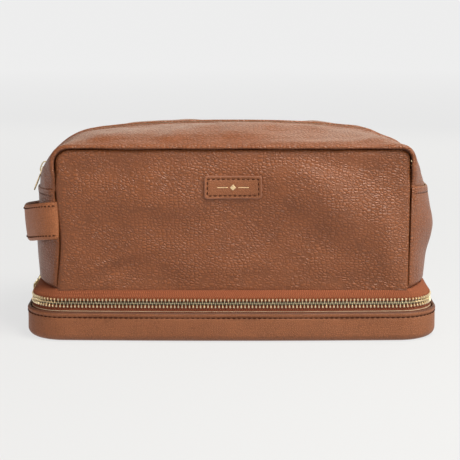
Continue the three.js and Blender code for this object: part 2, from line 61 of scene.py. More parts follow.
def node_box(name):
    """Lowest and highest corner of a CAD node, in millimetres."""
    low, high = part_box(name)
    return np.array(low) / MM, np.array(high) / MM


# ---- driving dimensions -------------------------------------------------------------------
BASE_HALF_X = node_box("base_wall")[1][0]
BASE_MIDDLE_Y = node_box("base_wall")[1][1]  # half depth at the middle of the bowed front
BASE_BOW = 3.5
BASE_CORNER = 27
BASE_HALF_Y = BASE_MIDDLE_Y - BASE_BOW
WALL_TOP = node_box("base_wall")[1][2]
WALL_THICK = 2.0
BOTTOM_EDGE = 5.0
CHAIN_Z = 0.5 * (node_box("base_zip_teeth_lower")[0][2] + node_box("base_zip_teeth_upper")[1][2])
CHAIN_INSET = 4.4
ZIP_END_X = 112

BAG_HALF_Y = node_box("back_panel")[1][1]
BAG_Z = node_box("front_panel")[0][2] - 1.2  # the leather reaches a little below its stiffer core
SEAM_HALF_X = 122.4
SEAM_SHIFT = 0.8
# Each seam has its height and the radii of its left and right corner.
FRONT_SEAM = {"top": 133.2, "corner": (13.0, 10.5)}
BACK_SEAM = {"top": 129.6, "corner": (34.0, 30.0)}
SLUMP_X = 107.0  # where the top sinks near a shoulder, below the CAD's stiff arch
OVERLAP = 2.7  # of the front and back panels over the side panels, below their tops
CROWN_Z = node_box("top_strip_front")[1][2]
CROWN_DROP = 5.6
CROWN_POWER = 2.6
CORNER_R = 44.6
CORNER_END = math.radians(20)
TOP_SHARE, CORNER_SHARE = 0.44, 0.64  # arch parameters where the top and its corners end
GUSSET_POWER = 2.5
# The left shoulder does not sink: the top slider's joint needs the zip line on its circle there.
LEFT = {"corner": 97.5, "slump": 0.0,
        "side": [(134.3, 91), (137.0, 72), (137.0, 54), (136.2, 44), (135.4, BAG_Z)]}
RIGHT = {"corner": 97.0, "slump": 2.2,
         "side": [(137.2, 93), (141.9, 76), (141.4, 66), (137.4, 52), (135.4, BAG_Z)]}

# Distances from the top zip's middle to the folded edge of the leather, the stitches beside it,
# the tape's edge and the flat leather.
ZIP_EDGE, ZIP_SEAM, TAPE_EDGE, ZIP_SIDE = 6.5, 9.0, 12.0, 13.0
TAPE_DEPTH = 2.4  # of the tape's outer face, below the leather's
TAPE_THICK = 0.7
LEATHER = 1.7
PITCH = 2.5  # of the zip teeth

BROWN_THREAD = (0.030, 0.008, 0.003)
SEAM_SHADOW = (0.045, 0.014, 0.007)


# ---- materials ----------------------------------------------------------------------------
class Nodes:
    """A material's node tree, with short calls for making and joining nodes."""

    def __init__(self, name):
        self.material = bpy.data.materials.new(name)
        self.material.use_nodes = True
        self.tree = self.material.node_tree
        self.shader = self.tree.nodes["Principled BSDF"]
        self.coordinates = self.add("ShaderNodeTexCoord")

    def add(self, kind, settings=None, **inputs):
        node = self.tree.nodes.new(kind)
        for key, value in (settings or {}).items():
            setattr(node, key, value)
        for key, value in inputs.items():
            self.set(node, key.replace("_", " "), value)
        return node

    def feed(self, socket, value):
        """Joins a socket to another one, or gives it a value."""
        if isinstance(value, bpy.types.NodeSocket):
            self.tree.links.new(value, socket)
        else:
            socket.default_value = value

    def set(self, node, key, value):
        self.feed(node.inputs[key], value)

    def place(self, source="Object", scale=(1, 1, 1)):
        mapping = self.add("ShaderNodeMapping", Scale=scale)
        self.set(mapping, "Vector", self.coordinates.outputs[source])
        return mapping.outputs["Vector"]

    def noise(self, vector, scale, detail=2.0, roughness=0.5):
        node = self.add("ShaderNodeTexNoise", Vector=vector, Scale=scale, Detail=detail,
                        Roughness=roughness)
        return node.outputs["Fac"]

    def ramp(self, factor, low, high, at=(0.0, 1.0)):
        """A factor turned into a colour or a grey between two stops."""
        node = self.add("ShaderNodeValToRGB", Fac=factor)
        stops = node.color_ramp.elements
        for stop, value, position in zip(stops, (low, high), at):
            stop.color = (*value, 1) if hasattr(value, "__len__") else (value, value, value, 1)
            stop.position = position
        return node.outputs["Color"]

    def math(self, operation, a, b=0.0):
        node = self.add("ShaderNodeMath", {"operation": operation})
        for socket, value in zip(node.inputs, (a, b)):
            self.feed(socket, value)
        return node.outputs[0]

    def mix(self, factor, a, b):
        """Two colours mixed. The colour sockets of the node are its inputs 6 and 7."""
        node = self.add("ShaderNodeMix", {"data_type": "RGBA"})
        self.feed(node.inputs[0], factor)
        for socket, value in zip(node.inputs[6:8], (a, b)):
            self.feed(socket, value if isinstance(value, bpy.types.NodeSocket) else (*value, 1))
        return node.outputs[2]

    def bump(self, height, distance, strength=1.0, normal=None):
        node = self.add("ShaderNodeBump", Height=height, Distance=distance, Strength=strength)
        if normal is not None:
            self.set(node, "Normal", normal)
        return node.outputs["Normal"]

    def finish(self, color=None, roughness=None, normal=None, **values):
        for key, value in (("Base Color", color), ("Roughness", roughness), ("Normal", normal)):
            if value is None:
                continue
            if key == "Base Color" and hasattr(value, "__len__"):
                value = (*value, 1)
            self.set(self.shader, key, value)
        for key, value in values.items():
            self.set(self.shader, key.replace("_", " "), value)
        return self.material


def scaled_color(color, share):
    """A colour made darker or lighter by a factor."""
    return tuple(share * c for c in color)


def leather(name, light, dark, pebble, depth, roughness=(0.34, 0.5), stretch=(1, 1, 1),
            specular=0.4):
    """Grained leather: domed pebbles of the given size parted by narrow creases, with pores, soft
    mottling, painted shade in the creases and painted shade where the "shade" attribute says that a
    seam swallows the light."""
    m = Nodes(name)
    place = m.place(scale=stretch)
    warp = m.add("ShaderNodeTexNoise", Vector=place, Scale=0.45 / (pebble * MM), Detail=2.0)
    shift = m.add("ShaderNodeVectorMath", {"operation": "SCALE"}, Scale=0.45 * pebble * MM)
    m.set(shift, 0, warp.outputs["Color"])
    moved = m.add("ShaderNodeVectorMath", {"operation": "ADD"})
    m.set(moved, 0, place)
    m.set(moved, 1, shift.outputs[0])
    cells = m.add("ShaderNodeTexVoronoi", {"feature": "DISTANCE_TO_EDGE"}, Vector=moved.outputs[0],
                  Scale=1 / (pebble * MM), Randomness=0.8)
    crease = m.ramp(cells.outputs["Distance"], 0.0, 1.0, (0.02, 0.22))
    dome = m.ramp(cells.outputs["Distance"], 0.0, 1.0, (0.0, 0.4))
    fine = m.add("ShaderNodeTexVoronoi", {"feature": "DISTANCE_TO_EDGE"}, Vector=moved.outputs[0],
                 Scale=2.3 / (pebble * MM))
    wrinkle = m.ramp(fine.outputs["Distance"], 0.0, 1.0, (0.0, 0.3))
    pores = m.noise(place, 6 / (pebble * MM), 3.0)
    mottle = m.noise(place, 34, 4.0, 0.6)
    blotch = m.noise(place, 9, 2.0)
    patchy = m.ramp(m.noise(place, 0.2 / (pebble * MM), 2.0), 0.7, 1.0, (0.35, 0.6))
    tone = m.mix(m.ramp(mottle, 0.2, 0.8, (0.3, 0.7)), dark, light)
    tone = m.mix(m.ramp(blotch, 0.0, 0.3, (0.4, 0.75)), tone, scaled_color(light, 0.85))
    # Painted shade: the creases between the pebbles are darkened, in patches.
    low = m.math("MULTIPLY", m.math("SUBTRACT", 1.0, crease), patchy)
    tone = m.mix(m.math("MULTIPLY", low, 0.5), tone, scaled_color(dark, 0.38))
    shade = m.add("ShaderNodeAttribute", {"attribute_name": "shade"}).outputs["Fac"]
    tone = m.mix(m.math("MULTIPLY", shade, 0.9), tone, SEAM_SHADOW)
    rough = m.ramp(m.mix(0.5, crease, mottle), roughness[1], roughness[0], (0.2, 0.9))
    relief = m.math("MULTIPLY", dome, patchy)
    first = m.bump(pores, 0.015 * MM)
    second = m.bump(wrinkle, depth * 0.15 * MM, normal=first)
    third = m.bump(m.math("MULTIPLY", crease, patchy), depth * 0.35 * MM, normal=second)
    normal = m.bump(relief, depth * MM, normal=third)
    return m.finish(tone, rough, normal, Specular_IOR_Level=specular)


def cut_edge_material(name, color):
    """The painted edge of leather: dark, with a faint fibre."""
    m = Nodes(name)
    grain = m.noise(m.place(), 900, 3.0)
    tone = m.mix(grain, scaled_color(color, 0.7), scaled_color(color, 1.25))
    return m.finish(tone, m.ramp(grain, 0.45, 0.65), m.bump(grain, 0.06 * MM))


def cloth_material(name, light, dark, thread, depth=0.12, rough=0.85):
    """A plain weave: threads that cross along all three axes, with slubs and uneven dye."""
    m = Nodes(name)
    place = m.place()
    waves = [m.add("ShaderNodeTexWave", {"wave_type": "BANDS", "bands_direction": axis},
                   Vector=place, Scale=0.5 / (thread * MM), Distortion=0.6, Detail_Scale=2.0)
             for axis in "XYZ"]
    weave = waves[0].outputs["Fac"]
    for wave in waves[1:]:
        weave = m.math("MULTIPLY", weave, wave.outputs["Fac"])
    slub = m.noise(place, 160, 3.0)
    tone = m.mix(slub, dark, light)
    tone = m.mix(m.math("MULTIPLY", weave, 0.35), tone, scaled_color(dark, 0.5))
    normal = m.bump(m.math("ADD", m.math("MULTIPLY", slub, 0.4), weave), depth * MM)
    return m.finish(tone, m.ramp(slub, rough - 0.08, rough + 0.05), normal,
                    Specular_IOR_Level=0.2)


def tape_material(name, light, dark):
    """Zip tape: a herringbone twill whose ribs change slant from band to band."""
    m = Nodes(name)
    parts = m.add("ShaderNodeSeparateXYZ")
    m.set(parts, 0, m.coordinates.outputs["UV"])
    along, across = parts.outputs[0], parts.outputs[1]
    zigzag = m.math("PINGPONG", across, 1.5 * MM)
    slant = m.math("ADD", along, zigzag)
    ribs = m.math("SINE", m.math("MULTIPLY", slant, 2 * math.pi / (1.5 * MM)))
    ribs = m.math("MULTIPLY", m.math("ADD", ribs, 1.0), 0.5)
    fibre = m.noise(m.place("UV"), 700, 3.0)
    tone = m.mix(ribs, dark, light)
    tone = m.mix(m.math("MULTIPLY", fibre, 0.45), tone, scaled_color(dark, 0.6))
    normal = m.bump(m.math("ADD", ribs, m.math("MULTIPLY", fibre, 0.6)), 0.3 * MM)
    return m.finish(tone, m.ramp(fibre, 0.75, 0.92), normal, Specular_IOR_Level=0.25)


def brass_material(name, color, roughness=0.22):
    """Pale gold plating: bright metal with fine scuffs and a darker cast in the low spots."""
    m = Nodes(name)
    place = m.place()
    cloud = m.noise(place, 240, 3.0)
    scuff = m.noise(m.place(scale=(1, 6, 1)), 900, 2.0)
    tone = m.mix(m.ramp(cloud, 0.0, 0.55, (0.35, 0.75)), color, scaled_color(color, 0.62))
    rough = m.ramp(scuff, roughness - 0.06, roughness + 0.14, (0.3, 0.8))
    return m.finish(tone, rough, m.bump(scuff, 0.02 * MM), Metallic=1.0)


def thread_material(name, color):
    """Sewing thread: plies that twist round it."""
    m = Nodes(name)
    twist = m.add("ShaderNodeTexWave", {"bands_direction": "DIAGONAL"}, Vector=m.place(),
                  Scale=0.5 / (0.35 * MM), Distortion=0.5)
    tone = m.mix(twist.outputs["Fac"], color, scaled_color(color, 1.9))
    return m.finish(tone, 0.8, m.bump(twist.outputs["Fac"], 0.06 * MM), Specular_IOR_Level=0.15)


def board_material(name, color):
    m = Nodes(name)
    fibre = m.noise(m.place(scale=(1, 3, 1)), 500, 4.0)
    tone = m.mix(fibre, scaled_color(color, 0.75), scaled_color(color, 1.2))
    return m.finish(tone, m.ramp(fibre, 0.8, 0.95), m.bump(fibre, 0.08 * MM))


PEBBLED = leather("pebbled_leather", (0.218, 0.068, 0.022), (0.180, 0.054, 0.017), 2.15, 0.28,
                  (0.30, 0.44), stretch=(0.8, 1, 1.15), specular=0.38)
SMOOTH = leather("smooth_leather", (0.268, 0.093, 0.036), (0.220, 0.073, 0.027), 1.1, 0.12,
                 (0.42, 0.56), specular=0.32)
STRAP = leather("strap_leather", (0.360, 0.128, 0.050), (0.300, 0.101, 0.038), 1.4, 0.16,
                (0.42, 0.56), specular=0.3)
EDGE = cut_edge_material("leather_edge", (0.19, 0.066, 0.030))
LINING = cloth_material("lining_cloth", (0.42, 0.32, 0.22), (0.33, 0.245, 0.165), 0.9)
TAPE = tape_material("zip_tape_twill", (0.31, 0.092, 0.036), (0.155, 0.040, 0.016))
# A darker copy of the tape for the lower tape: painted shade for its recess under the chain.
SHADED_TAPE = tape_material("zip_tape_shaded", (0.22, 0.055, 0.022), (0.11, 0.026, 0.011))
BRASS = brass_material("zip_brass", (0.95, 0.80, 0.54), 0.32)
SLIDER_BRASS = brass_material("slider_brass", (0.76, 0.62, 0.38), 0.18)
THREAD = thread_material("dark_thread", BROWN_THREAD)
BOARD = board_material("board", (0.16, 0.135, 0.11))
FOIL = brass_material("gold_foil", (0.90, 0.68, 0.40), 0.3)


# ---- meshes -------------------------------------------------------------------------------
def unit(vectors):
    return vectors / np.maximum(np.linalg.norm(vectors, axis=-1, keepdims=True), 1e-9)


def smoothstep(x, low=0.0, high=1.0):
    k = np.clip((np.asarray(x, float) - low) / (high - low), 0, 1)
    return k * k * (3 - 2 * k)


def bell(x, centre, width):
    return np.exp(-(((x - centre) / width) ** 2))


def running_sum(steps):
    return np.concatenate([[0], np.cumsum(steps)])


def lengths_along(line):
    """The distance along a polyline from its start to each of its points."""
    return running_sum(np.linalg.norm(np.diff(line, axis=0), axis=1))


def point_at(where, at, line):
    """What a list of points or directions gives at a distance along it."""
    return np.array([np.interp(where, at, column) for column in line.T])


def spline(controls, steps):
    """Points of a smooth curve through all but the first and the last of its controls."""
    k = np.linspace(0, 1, steps, endpoint=False)[:, None]
    return np.vstack([0.5 * (2 * b + (c - a) * k + (2 * a - 5 * b + 4 * c - d) * k**2
                             + (3 * b - a - 3 * c + d) * k**3)
                      for a, b, c, d in zip(controls, controls[1:], controls[2:], controls[3:])])


def curve_through(points, count):
    """Evenly spaced points of a smooth curve through a few given ones."""
    p = np.array(points, float)
    controls = np.vstack([2 * p[0] - p[1], p, 2 * p[-1] - p[-2]])
    return resample(np.vstack([spline(controls, 24), p[-1:]]), count)


def resample(line, count):
    """Points at even steps along a polyline."""
    at = lengths_along(line)
    share = np.linspace(0, 1, count)
    return np.stack([np.interp(share * at[-1], at, column) for column in line.T], 1)


def wobble(points, size, amount, seed=0.0):
    """Smooth noise of a given feature size, one value a point."""
    flat = points.reshape(-1, 3) / size + seed
    values = np.array([noise.noise(Vector(p)) for p in flat])
    return amount * values.reshape(points.shape[:-1])


def signed_volume(mesh):
    """The volume inside a closed mesh, which is negative when its faces look inwards."""
    mesh.calc_loop_triangles()
    points = np.zeros(3 * len(mesh.vertices))
    mesh.vertices.foreach_get("co", points)
    corners = np.zeros(3 * len(mesh.loop_triangles), np.int32)
    mesh.loop_triangles.foreach_get("vertices", corners)
    a, b, c = points.reshape(-1, 3)[corners.reshape(-1, 3)].transpose(1, 0, 2)
    return float(np.einsum("ij,ij->i", a, np.cross(b, c)).sum()) / 6


def make_object(name, vertices, faces, materials, face_materials=None, uv=None, crease=50,
                shade=None):
    """A mesh object in metres from millimetres. uv holds one pair a vertex, in millimetres, and
    shade how much painted shade each vertex takes, from 0 to 1, mostly deep in a seam."""
    mesh = bpy.data.meshes.new(name)
    mesh.from_pydata((np.asarray(vertices, float) * MM).tolist(), [], faces)
    for material in materials:
        mesh.materials.append(material)
    if face_materials is not None:
        mesh.polygons.foreach_set("material_index", face_materials)
    if uv is not None:
        layer = mesh.uv_layers.new(name="UVMap")
        loops = np.zeros(len(mesh.loops), np.int32)
        mesh.loops.foreach_get("vertex_index", loops)
        layer.data.foreach_set("uv", (np.asarray(uv, float) * MM)[loops].ravel())
    if shade is not None:
        attribute = mesh.attributes.new("shade", "FLOAT", "POINT")
        attribute.data.foreach_set("value", np.asarray(shade, np.float32))
    mesh.validate()
    if signed_volume(mesh) < 0:
        mesh.flip_normals()
    mesh.shade_smooth()
    mesh.set_sharp_from_angle(angle=math.radians(crease))
    obj = bpy.data.objects.new(name, mesh)
    bpy.context.scene.collection.objects.link(obj)
    return obj


def grid_normals(grid):
    """Unit normals of a grid of points, as the cross product of its two directions."""
    return unit(np.cross(np.gradient(grid, axis=0), np.gradient(grid, axis=1)))


def edge_fade(spacing, radius):
    """0 at both ends of a row and 1 past a rounded edge of that radius."""
    at = running_sum(spacing)
    near = np.minimum(at, at[-1] - at)
    k = np.clip(near / radius, 0, 1)
    return np.sqrt(1 - (1 - k) ** 2)


def shell(name, middle, thick, outer, inner=None, shade=None):
    """A closed sheet round a grid of middle points (rows along, columns across), with its edges
    rounded off. The normal side takes the outer material, the other the inner one, and both come
    to a point along the borders."""
    rows, columns = middle.shape[:2]
    length = np.linalg.norm(np.diff(middle, axis=0), axis=2).mean(1)
    width = np.linalg.norm(np.diff(middle, axis=1), axis=2).mean(0)
    fade = np.outer(edge_fade(length, thick / 2), edge_fade(width, thick / 2))
    offset = grid_normals(middle) * (fade * thick / 2)[..., None]
    top, under = middle + offset, middle - offset
    inside = np.zeros((rows, columns), bool)
    inside[1:-1, 1:-1] = True
    upper = np.arange(rows * columns).reshape(rows, columns)
    lower = upper.copy()
    lower[inside] = rows * columns + np.arange(inside.sum())
    vertices = np.vstack([top.reshape(-1, 3), under[inside]])
    uv = np.stack(np.meshgrid(running_sum(length), running_sum(width), indexing="ij"), -1)
    uv = np.vstack([uv.reshape(-1, 2), uv[inside]])
    faces, kinds = [], []
    for i in range(rows - 1):
        for j in range(columns - 1):
            faces.append((upper[i, j], upper[i + 1, j], upper[i + 1, j + 1], upper[i, j + 1]))
            faces.append((lower[i, j], lower[i, j + 1], lower[i + 1, j + 1], lower[i + 1, j]))
            kinds += [0, 1 if inner else 0]
    if shade is not None:
        shade = np.broadcast_to(shade, (rows, columns))
        shade = np.concatenate([shade.ravel(), shade[inside]])
    return make_object(name, vertices, faces, [outer, inner] if inner else [outer], kinds, uv,
                       shade=shade)


def repeat(name, shape, faces, places, material, crease=40):
    """Copies of a small closed mesh. Each place is (origin, x, y, z) with its three directions."""
    vertices, all_faces = [], []
    for origin, x, y, z in places:
        start = len(vertices) * len(shape)
        vertices.append(origin + shape @ np.array([x, y, z]))
        all_faces += [tuple(start + i for i in face) for face in faces]
    return make_object(name, np.vstack(vertices), all_faces, [material], crease=crease)


def ring_faces(count, sides):
    """The faces between closed rings of points that follow each other."""
    around = [(j, (j + 1) % sides) for j in range(sides)]
    return [(a + j, a + k, a + sides + k, a + sides + j)
            for a in range(0, (count - 1) * sides, sides) for j, k in around]


def lofted(sections):
    """Vertices and faces of a small loft through rings of points, with closed ends."""
    rings = np.array(sections, float)
    count, sides = rings.shape[:2]
    faces = ring_faces(count, sides)
    faces.append(tuple(range(sides))[::-1])
    faces.append(tuple((count - 1) * sides + j for j in range(sides)))
    return rings.reshape(-1, 3), faces


def octagon(half_a, half_b, soft=0.55):
    """Eight corners of a rectangle with cut corners."""
    a, b = half_a, half_b
    c, d = a * soft, b * soft
    return [(a, -d), (a, d), (c, b), (-c, b), (-a, d), (-a, -d), (-c, -b), (c, -b)]


def stitches(name, path, normal, pitch, length, radius):
    """A row of thread stitches on a surface, each one sinking into its holes at both ends."""
    at = lengths_along(path)
    count = max(1, int(at[-1] / pitch))
    centres = (np.arange(count) + 0.5) * at[-1] / count
    sink = radius * 1.1
    shape, faces = lofted([
        [(x, a, b + z) for a, b in octagon(w, w)]
        for x, w, z in ((-length / 2, 0.3 * radius, -sink), (-0.38 * length, 0.8 * radius, -0.2 * sink),
                        (0, radius, 0.25 * sink), (0.38 * length, 0.8 * radius, -0.2 * sink),
                        (length / 2, 0.3 * radius, -sink))
    ])
    places = []
    for centre in centres:
        before, middle, after = (point_at(centre + d, at, path) for d in (-0.3, 0, 0.3))
        ahead = unit(after - before)
        side = unit(np.cross(unit(point_at(centre, at, normal)), ahead))
        places.append((middle, ahead, side, np.cross(ahead, side)))
    return repeat(name, shape, faces, places, THREAD)


def ride(obj, body, slot, *replaced):
    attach(obj, body)
    return settle(obj, slot, *replaced)


def settle(obj, slot, *replaced):
    if replaced:
        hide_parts(*replaced)
    return obj


# ---- the base outline ---------------------------------------------------------------------
def base_loop():
    """Fine points and outward normals of the base outline, from the middle of the back round by
    the left, the front and the right."""
    hx, hy, r = BASE_HALF_X, BASE_HALF_Y, BASE_CORNER
    corners = [(-hx + r, hy - r, 90), (-hx + r, -hy + r, 180), (hx - r, -hy + r, 270),
               (hx - r, hy - r, 360)]
    points, normals = [(0.0, hy)], [(0.0, 1.0)]
    for cx, cy, start in corners:
        for angle in np.radians(np.linspace(start, start + 90, 40)):
            direction = (math.cos(angle), math.sin(angle))
            points.append((cx + r * direction[0], cy + r * direction[1]))
            normals.append(direction)
    points.append((0.0, hy))
    normals.append((0.0, 1.0))
    return np.array(points), np.array(normals)


LOOP, LOOP_NORMAL = base_loop()
LOOP_AT = lengths_along(LOOP)
LOOP_LENGTH = LOOP_AT[-1]


def outline(distance, inset=0.0):
    """Points and outward normals of the outline at distances round it, moved in by inset."""
    distance = np.mod(distance, LOOP_LENGTH)
    point = np.stack([np.interp(distance, LOOP_AT, LOOP[:, i]) for i in (0, 1)], -1)
    normal = unit(np.stack([np.interp(distance, LOOP_AT, LOOP_NORMAL[:, i]) for i in (0, 1)], -1))
    moved = point - normal * np.asarray(inset)[..., None]
    bow = BASE_BOW * (1 - (moved[..., 0] / BASE_HALF_X) ** 2) * moved[..., 1] / BASE_HALF_Y
    moved[..., 1] += bow
    return moved, normal


def band_grid(profile, distances):
    """Middle points of a band: a profile of (inset, z) pairs carried along the outline."""
    profile = np.asarray(profile, float)
    inset = np.tile(profile[:, 0], (len(distances), 1))
    where = np.tile(np.asarray(distances)[:, None], (1, len(profile)))
    point, _ = outline(where, inset)
    height = np.tile(profile[:, 1], (len(distances), 1))
    return np.concatenate([point, height[..., None]], -1)


ZIP_START = ZIP_END_X
ZIP_STOP = LOOP_LENGTH - ZIP_END_X
ALL_ROUND = np.linspace(0, LOOP_LENGTH, 420, endpoint=False)
ZIP_RUN = np.linspace(ZIP_START, ZIP_STOP, 360)


# ---- the main bag's gusset ----------------------------------------------------------------
def corner_arc(half):
    start = math.pi / 2 - math.atan(CROWN_DROP * CROWN_POWER / half["corner"])
    centre = (half["corner"] - CORNER_R * math.cos(start),
              CROWN_Z - CROWN_DROP - CORNER_R * math.sin(start))
    return centre, start


def middle_arch(half):
    """Fine points of one half of the zip line, X outwards, with the arch parameter of each."""
    x = np.linspace(0, half["corner"], 60)
    top = np.stack([x, CROWN_Z - CROWN_DROP * (x / half["corner"]) ** CROWN_POWER], 1)
    centre, start = corner_arc(half)
    angle = np.linspace(start, CORNER_END, 40)
    corner = np.stack([centre[0] + CORNER_R * np.cos(angle), centre[1] + CORNER_R * np.sin(angle)], 1)
    lead = corner[-9]
    side = curve_through([lead, corner[-1], *half["side"]], 400)
    side = side[side[:, 1] < corner[-1][1]]
    side = side[np.linspace(0, len(side) - 1, 80).astype(int)]
    t = np.concatenate([np.linspace(0, TOP_SHARE, 60), np.linspace(TOP_SHARE, CORNER_SHARE, 40),
                        CORNER_SHARE + (1 - CORNER_SHARE) * (corner[-1][1] - side[:, 1])
                        / (corner[-1][1] - BAG_Z)])
    line = np.vstack([top, corner, side])
    line[:, 1] -= half["slump"] * bell(line[:, 0], SLUMP_X, 9) * smoothstep(line[:, 1], 112, 122)
    return t, line


def seam_arch(seam, side):
    """Fine points of one half of a seam arch, with the arch parameter of each."""
    r = seam["corner"][side]
    cx, cz = SEAM_HALF_X - r, seam["top"] - r
    angle = np.linspace(math.pi / 2, 0, 40)
    top = np.stack([np.linspace(0, cx, 60), np.full(60, seam["top"])], 1)
    corner = np.stack([cx + r * np.cos(angle), cz + r * np.sin(angle)], 1)
    side = np.stack([np.full(80, SEAM_HALF_X), np.linspace(cz, BAG_Z, 80)], 1)
    t = np.concatenate([np.linspace(0, TOP_SHARE, 60), np.linspace(TOP_SHARE, CORNER_SHARE, 40),
                        np.linspace(CORNER_SHARE, 1, 80)])
    return t, np.vstack([top, corner, side])


ARCHES = {
    "middle": (middle_arch(LEFT), middle_arch(RIGHT)),
    "front": (seam_arch(FRONT_SEAM, 0), seam_arch(FRONT_SEAM, 1)),
    "back": (seam_arch(BACK_SEAM, 0), seam_arch(BACK_SEAM, 1)),
}


def overlap(z):
    """How far a panel's edge stands over the side panel at a height."""
    return OVERLAP * smoothstep(z, 116, 103)


def seam_bow(x, z):
    """How far a seam strays to the right: both draw in under the panels' edges, and the left one
    again at the handle, which pulls on it."""
    left = overlap(z) + 2.8 * bell(z, 68, 24) - 0.5 * bell(z, 34, 12)
    return np.where(x < 0, left, -overlap(z)) * smoothstep(np.abs(x), 90, 115)


def arch(kind, t, lift=0.0):
    """Points (x, z) of an arch at parameters t, moved out of the bag by lift."""
    t = np.asarray(t, float)

    def at(value):
        result = np.zeros(value.shape + (2,))
        for sign, (share, line) in zip((-1, 1), ARCHES[kind]):
            here = (value < 0) if sign < 0 else (value >= 0)
            for axis in (0, 1):
                result[..., axis][here] = np.interp(np.abs(value[here]), share, line[:, axis])
            result[..., 0][here] *= sign
        return result

    step = 0.006
    ahead = unit(at(np.clip(t + step, -1, 1)) - at(np.clip(t - step, -1, 1)))
    out = np.stack([-ahead[..., 1], ahead[..., 0]], -1)
    point = at(t) + out * np.asarray(lift)[..., None]
    if kind != "middle":
        point[..., 0] += SEAM_SHIFT + seam_bow(point[..., 0], point[..., 1])
    return point


def gusset(t, w, lift=0.0):
    """Points of the gusset: w is -1 at the front seam, 0 at the zip line, 1 at the back seam."""
    t, w = np.broadcast_arrays(np.asarray(t, float), np.asarray(w, float))
    lift = np.broadcast_to(lift, t.shape)
    share = np.abs(w) ** GUSSET_POWER
    seam = np.where((w < 0)[..., None], arch("front", t, lift), arch("back", t, lift))
    point = arch("middle", t, lift) * (1 - share[..., None]) + seam * share[..., None]
    return np.stack([point[..., 0], w * BAG_HALF_Y, point[..., 1]], -1)


# ---- solids that are built round a loop ---------------------------------------------------
def round_corners(corners, arc, spacing):
    """A closed line round quarter circles, each (x, y, radius, first angle), with the straight
    stretches between them cut into even steps."""
    points = []
    for x, y, radius, start in corners:
        angle = np.radians(np.linspace(start, start + 90, arc))
        points.append(np.stack([x + radius * np.cos(angle), y + radius * np.sin(angle)], 1))
    points = np.vstack(points)
    line = []
    for a, b in zip(points, np.roll(points, -1, 0)):
        steps = max(1, int(np.linalg.norm(b - a) / spacing))
        line.append(a + (b - a) * (np.arange(steps) / steps)[:, None])
    return np.vstack(line)


def rounded_loop(half_x, half_y, radius, centre=(0.0, 0.0), arc=14, spacing=4.0):
    """Points of a rectangle with round corners, counterclockwise and evenly close together."""
    return round_corners([(centre[0] + right * (half_x - radius), centre[1] + up * (half_y - radius),
                           radius, start)
                          for right, up, start in ((1, -1, -90), (1, 1, 0), (-1, 1, 90), (-1, -1, 180))],
                         arc, spacing)


def loop_normals(loop):
    """Outward directions of a counterclockwise loop."""
    tangent = unit(np.roll(loop, -1, 0) - np.roll(loop, 1, 0))
    return np.stack([tangent[:, 1], -tangent[:, 0]], 1)


def edge_distance(points, loop):
    flat = points.reshape(-1, 1, 2)
    return np.linalg.norm(flat - loop[None], axis=2).min(1).reshape(points.shape[:-1])


def pan(name, loop, profile, place, materials, relief=None, kinds=None, seam=None):
    """A closed solid round a loop. The profile runs from the middle of the underside, out and
    over the edge, to the middle of the top, as (inset, share, height): the loop is moved in by
    inset and then drawn in to a share of its size. place turns (a, b, height) into a point, and
    seam gives the shade of a seam from (a, b) and the distance to the loop."""
    normal = loop_normals(loop)
    centre = 0.5 * (loop.min(0) + loop.max(0))
    rings, heights = [], []
    for inset, share, height in profile:
        rings.append(centre + share * (loop - normal * inset - centre))
        heights.append(np.full(len(loop), float(height)))
    rings, heights = np.array(rings), np.array(heights)
    if relief is not None:
        away = edge_distance(rings, loop)
        heights = heights + relief(rings[..., 0], rings[..., 1], away)
    middle = [h.mean() for h in (heights[0], heights[-1])]
    flat = np.concatenate([rings.reshape(-1, 2), heights.reshape(-1, 1)], 1)
    flat = np.vstack([flat, [*centre, middle[0]], [*centre, middle[1]]])
    count, sides = rings.shape[:2]
    around = [(j, (j + 1) % sides) for j in range(sides)]
    last = (count - 1) * sides
    faces = [(count * sides, k, j) for j, k in around] + ring_faces(count, sides)
    faces += [(last + j, last + k, count * sides + 1) for j, k in around]
    kinds = kinds or [0]
    rows = [0, *range(count - 1), len(kinds) - 1]
    kind = np.repeat([kinds[min(i, len(kinds) - 1)] for i in rows], sides).tolist()
    shade = None
    if seam is not None:
        shade = np.append(seam(rings[..., 0], rings[..., 1], edge_distance(rings, loop)), [0, 0])
    return make_object(name, place(flat), faces, materials, kind, flat[:, :2], shade=shade)


def rumple(amount, size, near, far):
    """A relief of soft dents that dies away between two distances from the edge."""
    def relief(x, y, away):
        return amount * wobble(np.stack([x, y, 0 * x], -1), size, 1.0) * smoothstep(away, near, far)

    return relief


def slab_profile(thick, bevel, shares=12, low=0.0):
    """The pan profile of a flat slab with rounded edges."""
    inward = np.linspace(0.06, 1, shares)
    angle = np.linspace(-90, 90, 7)
    edge = [(bevel - bevel * math.cos(math.radians(a)),
             1.0, low + thick / 2 + (thick / 2) * math.sin(math.radians(a))) for a in angle]
    under = [(bevel, s, low) for s in inward[:-1]]
    top = [(bevel, s, low + thick) for s in inward[:-1][::-1]]
    return under + edge + top


def level(points):
    return points


def hoop(name, profile, material, relief, shade):
    """A closed section of (inset, z) pairs, each with a shade, carried all round the base."""
    grid = band_grid(profile, ALL_ROUND)
    grid[..., :2] += outline(ALL_ROUND)[1][:, None] * relief(grid)[..., None]
    rows, columns = grid.shape[:2]
    faces = []
    for i in range(rows):
        a, b = i * columns, ((i + 1) % rows) * columns
        for j in range(columns):
            k = (j + 1) % columns
            faces.append((a + j, b + j, b + k, a + k))
    uv = np.stack(np.meshgrid(ALL_ROUND, lengths_along(np.array(profile)), indexing="ij"), -1)
    return make_object(name, grid.reshape(-1, 3), faces, [material], None, uv.reshape(-1, 2),
                       shade=np.tile(shade, rows))


def arc_points(centre, radius, start, stop, count):
    angle = np.radians(np.linspace(start, stop, count))
    return [(centre[0] + radius * math.cos(a), centre[1] + radius * math.sin(a)) for a in angle]


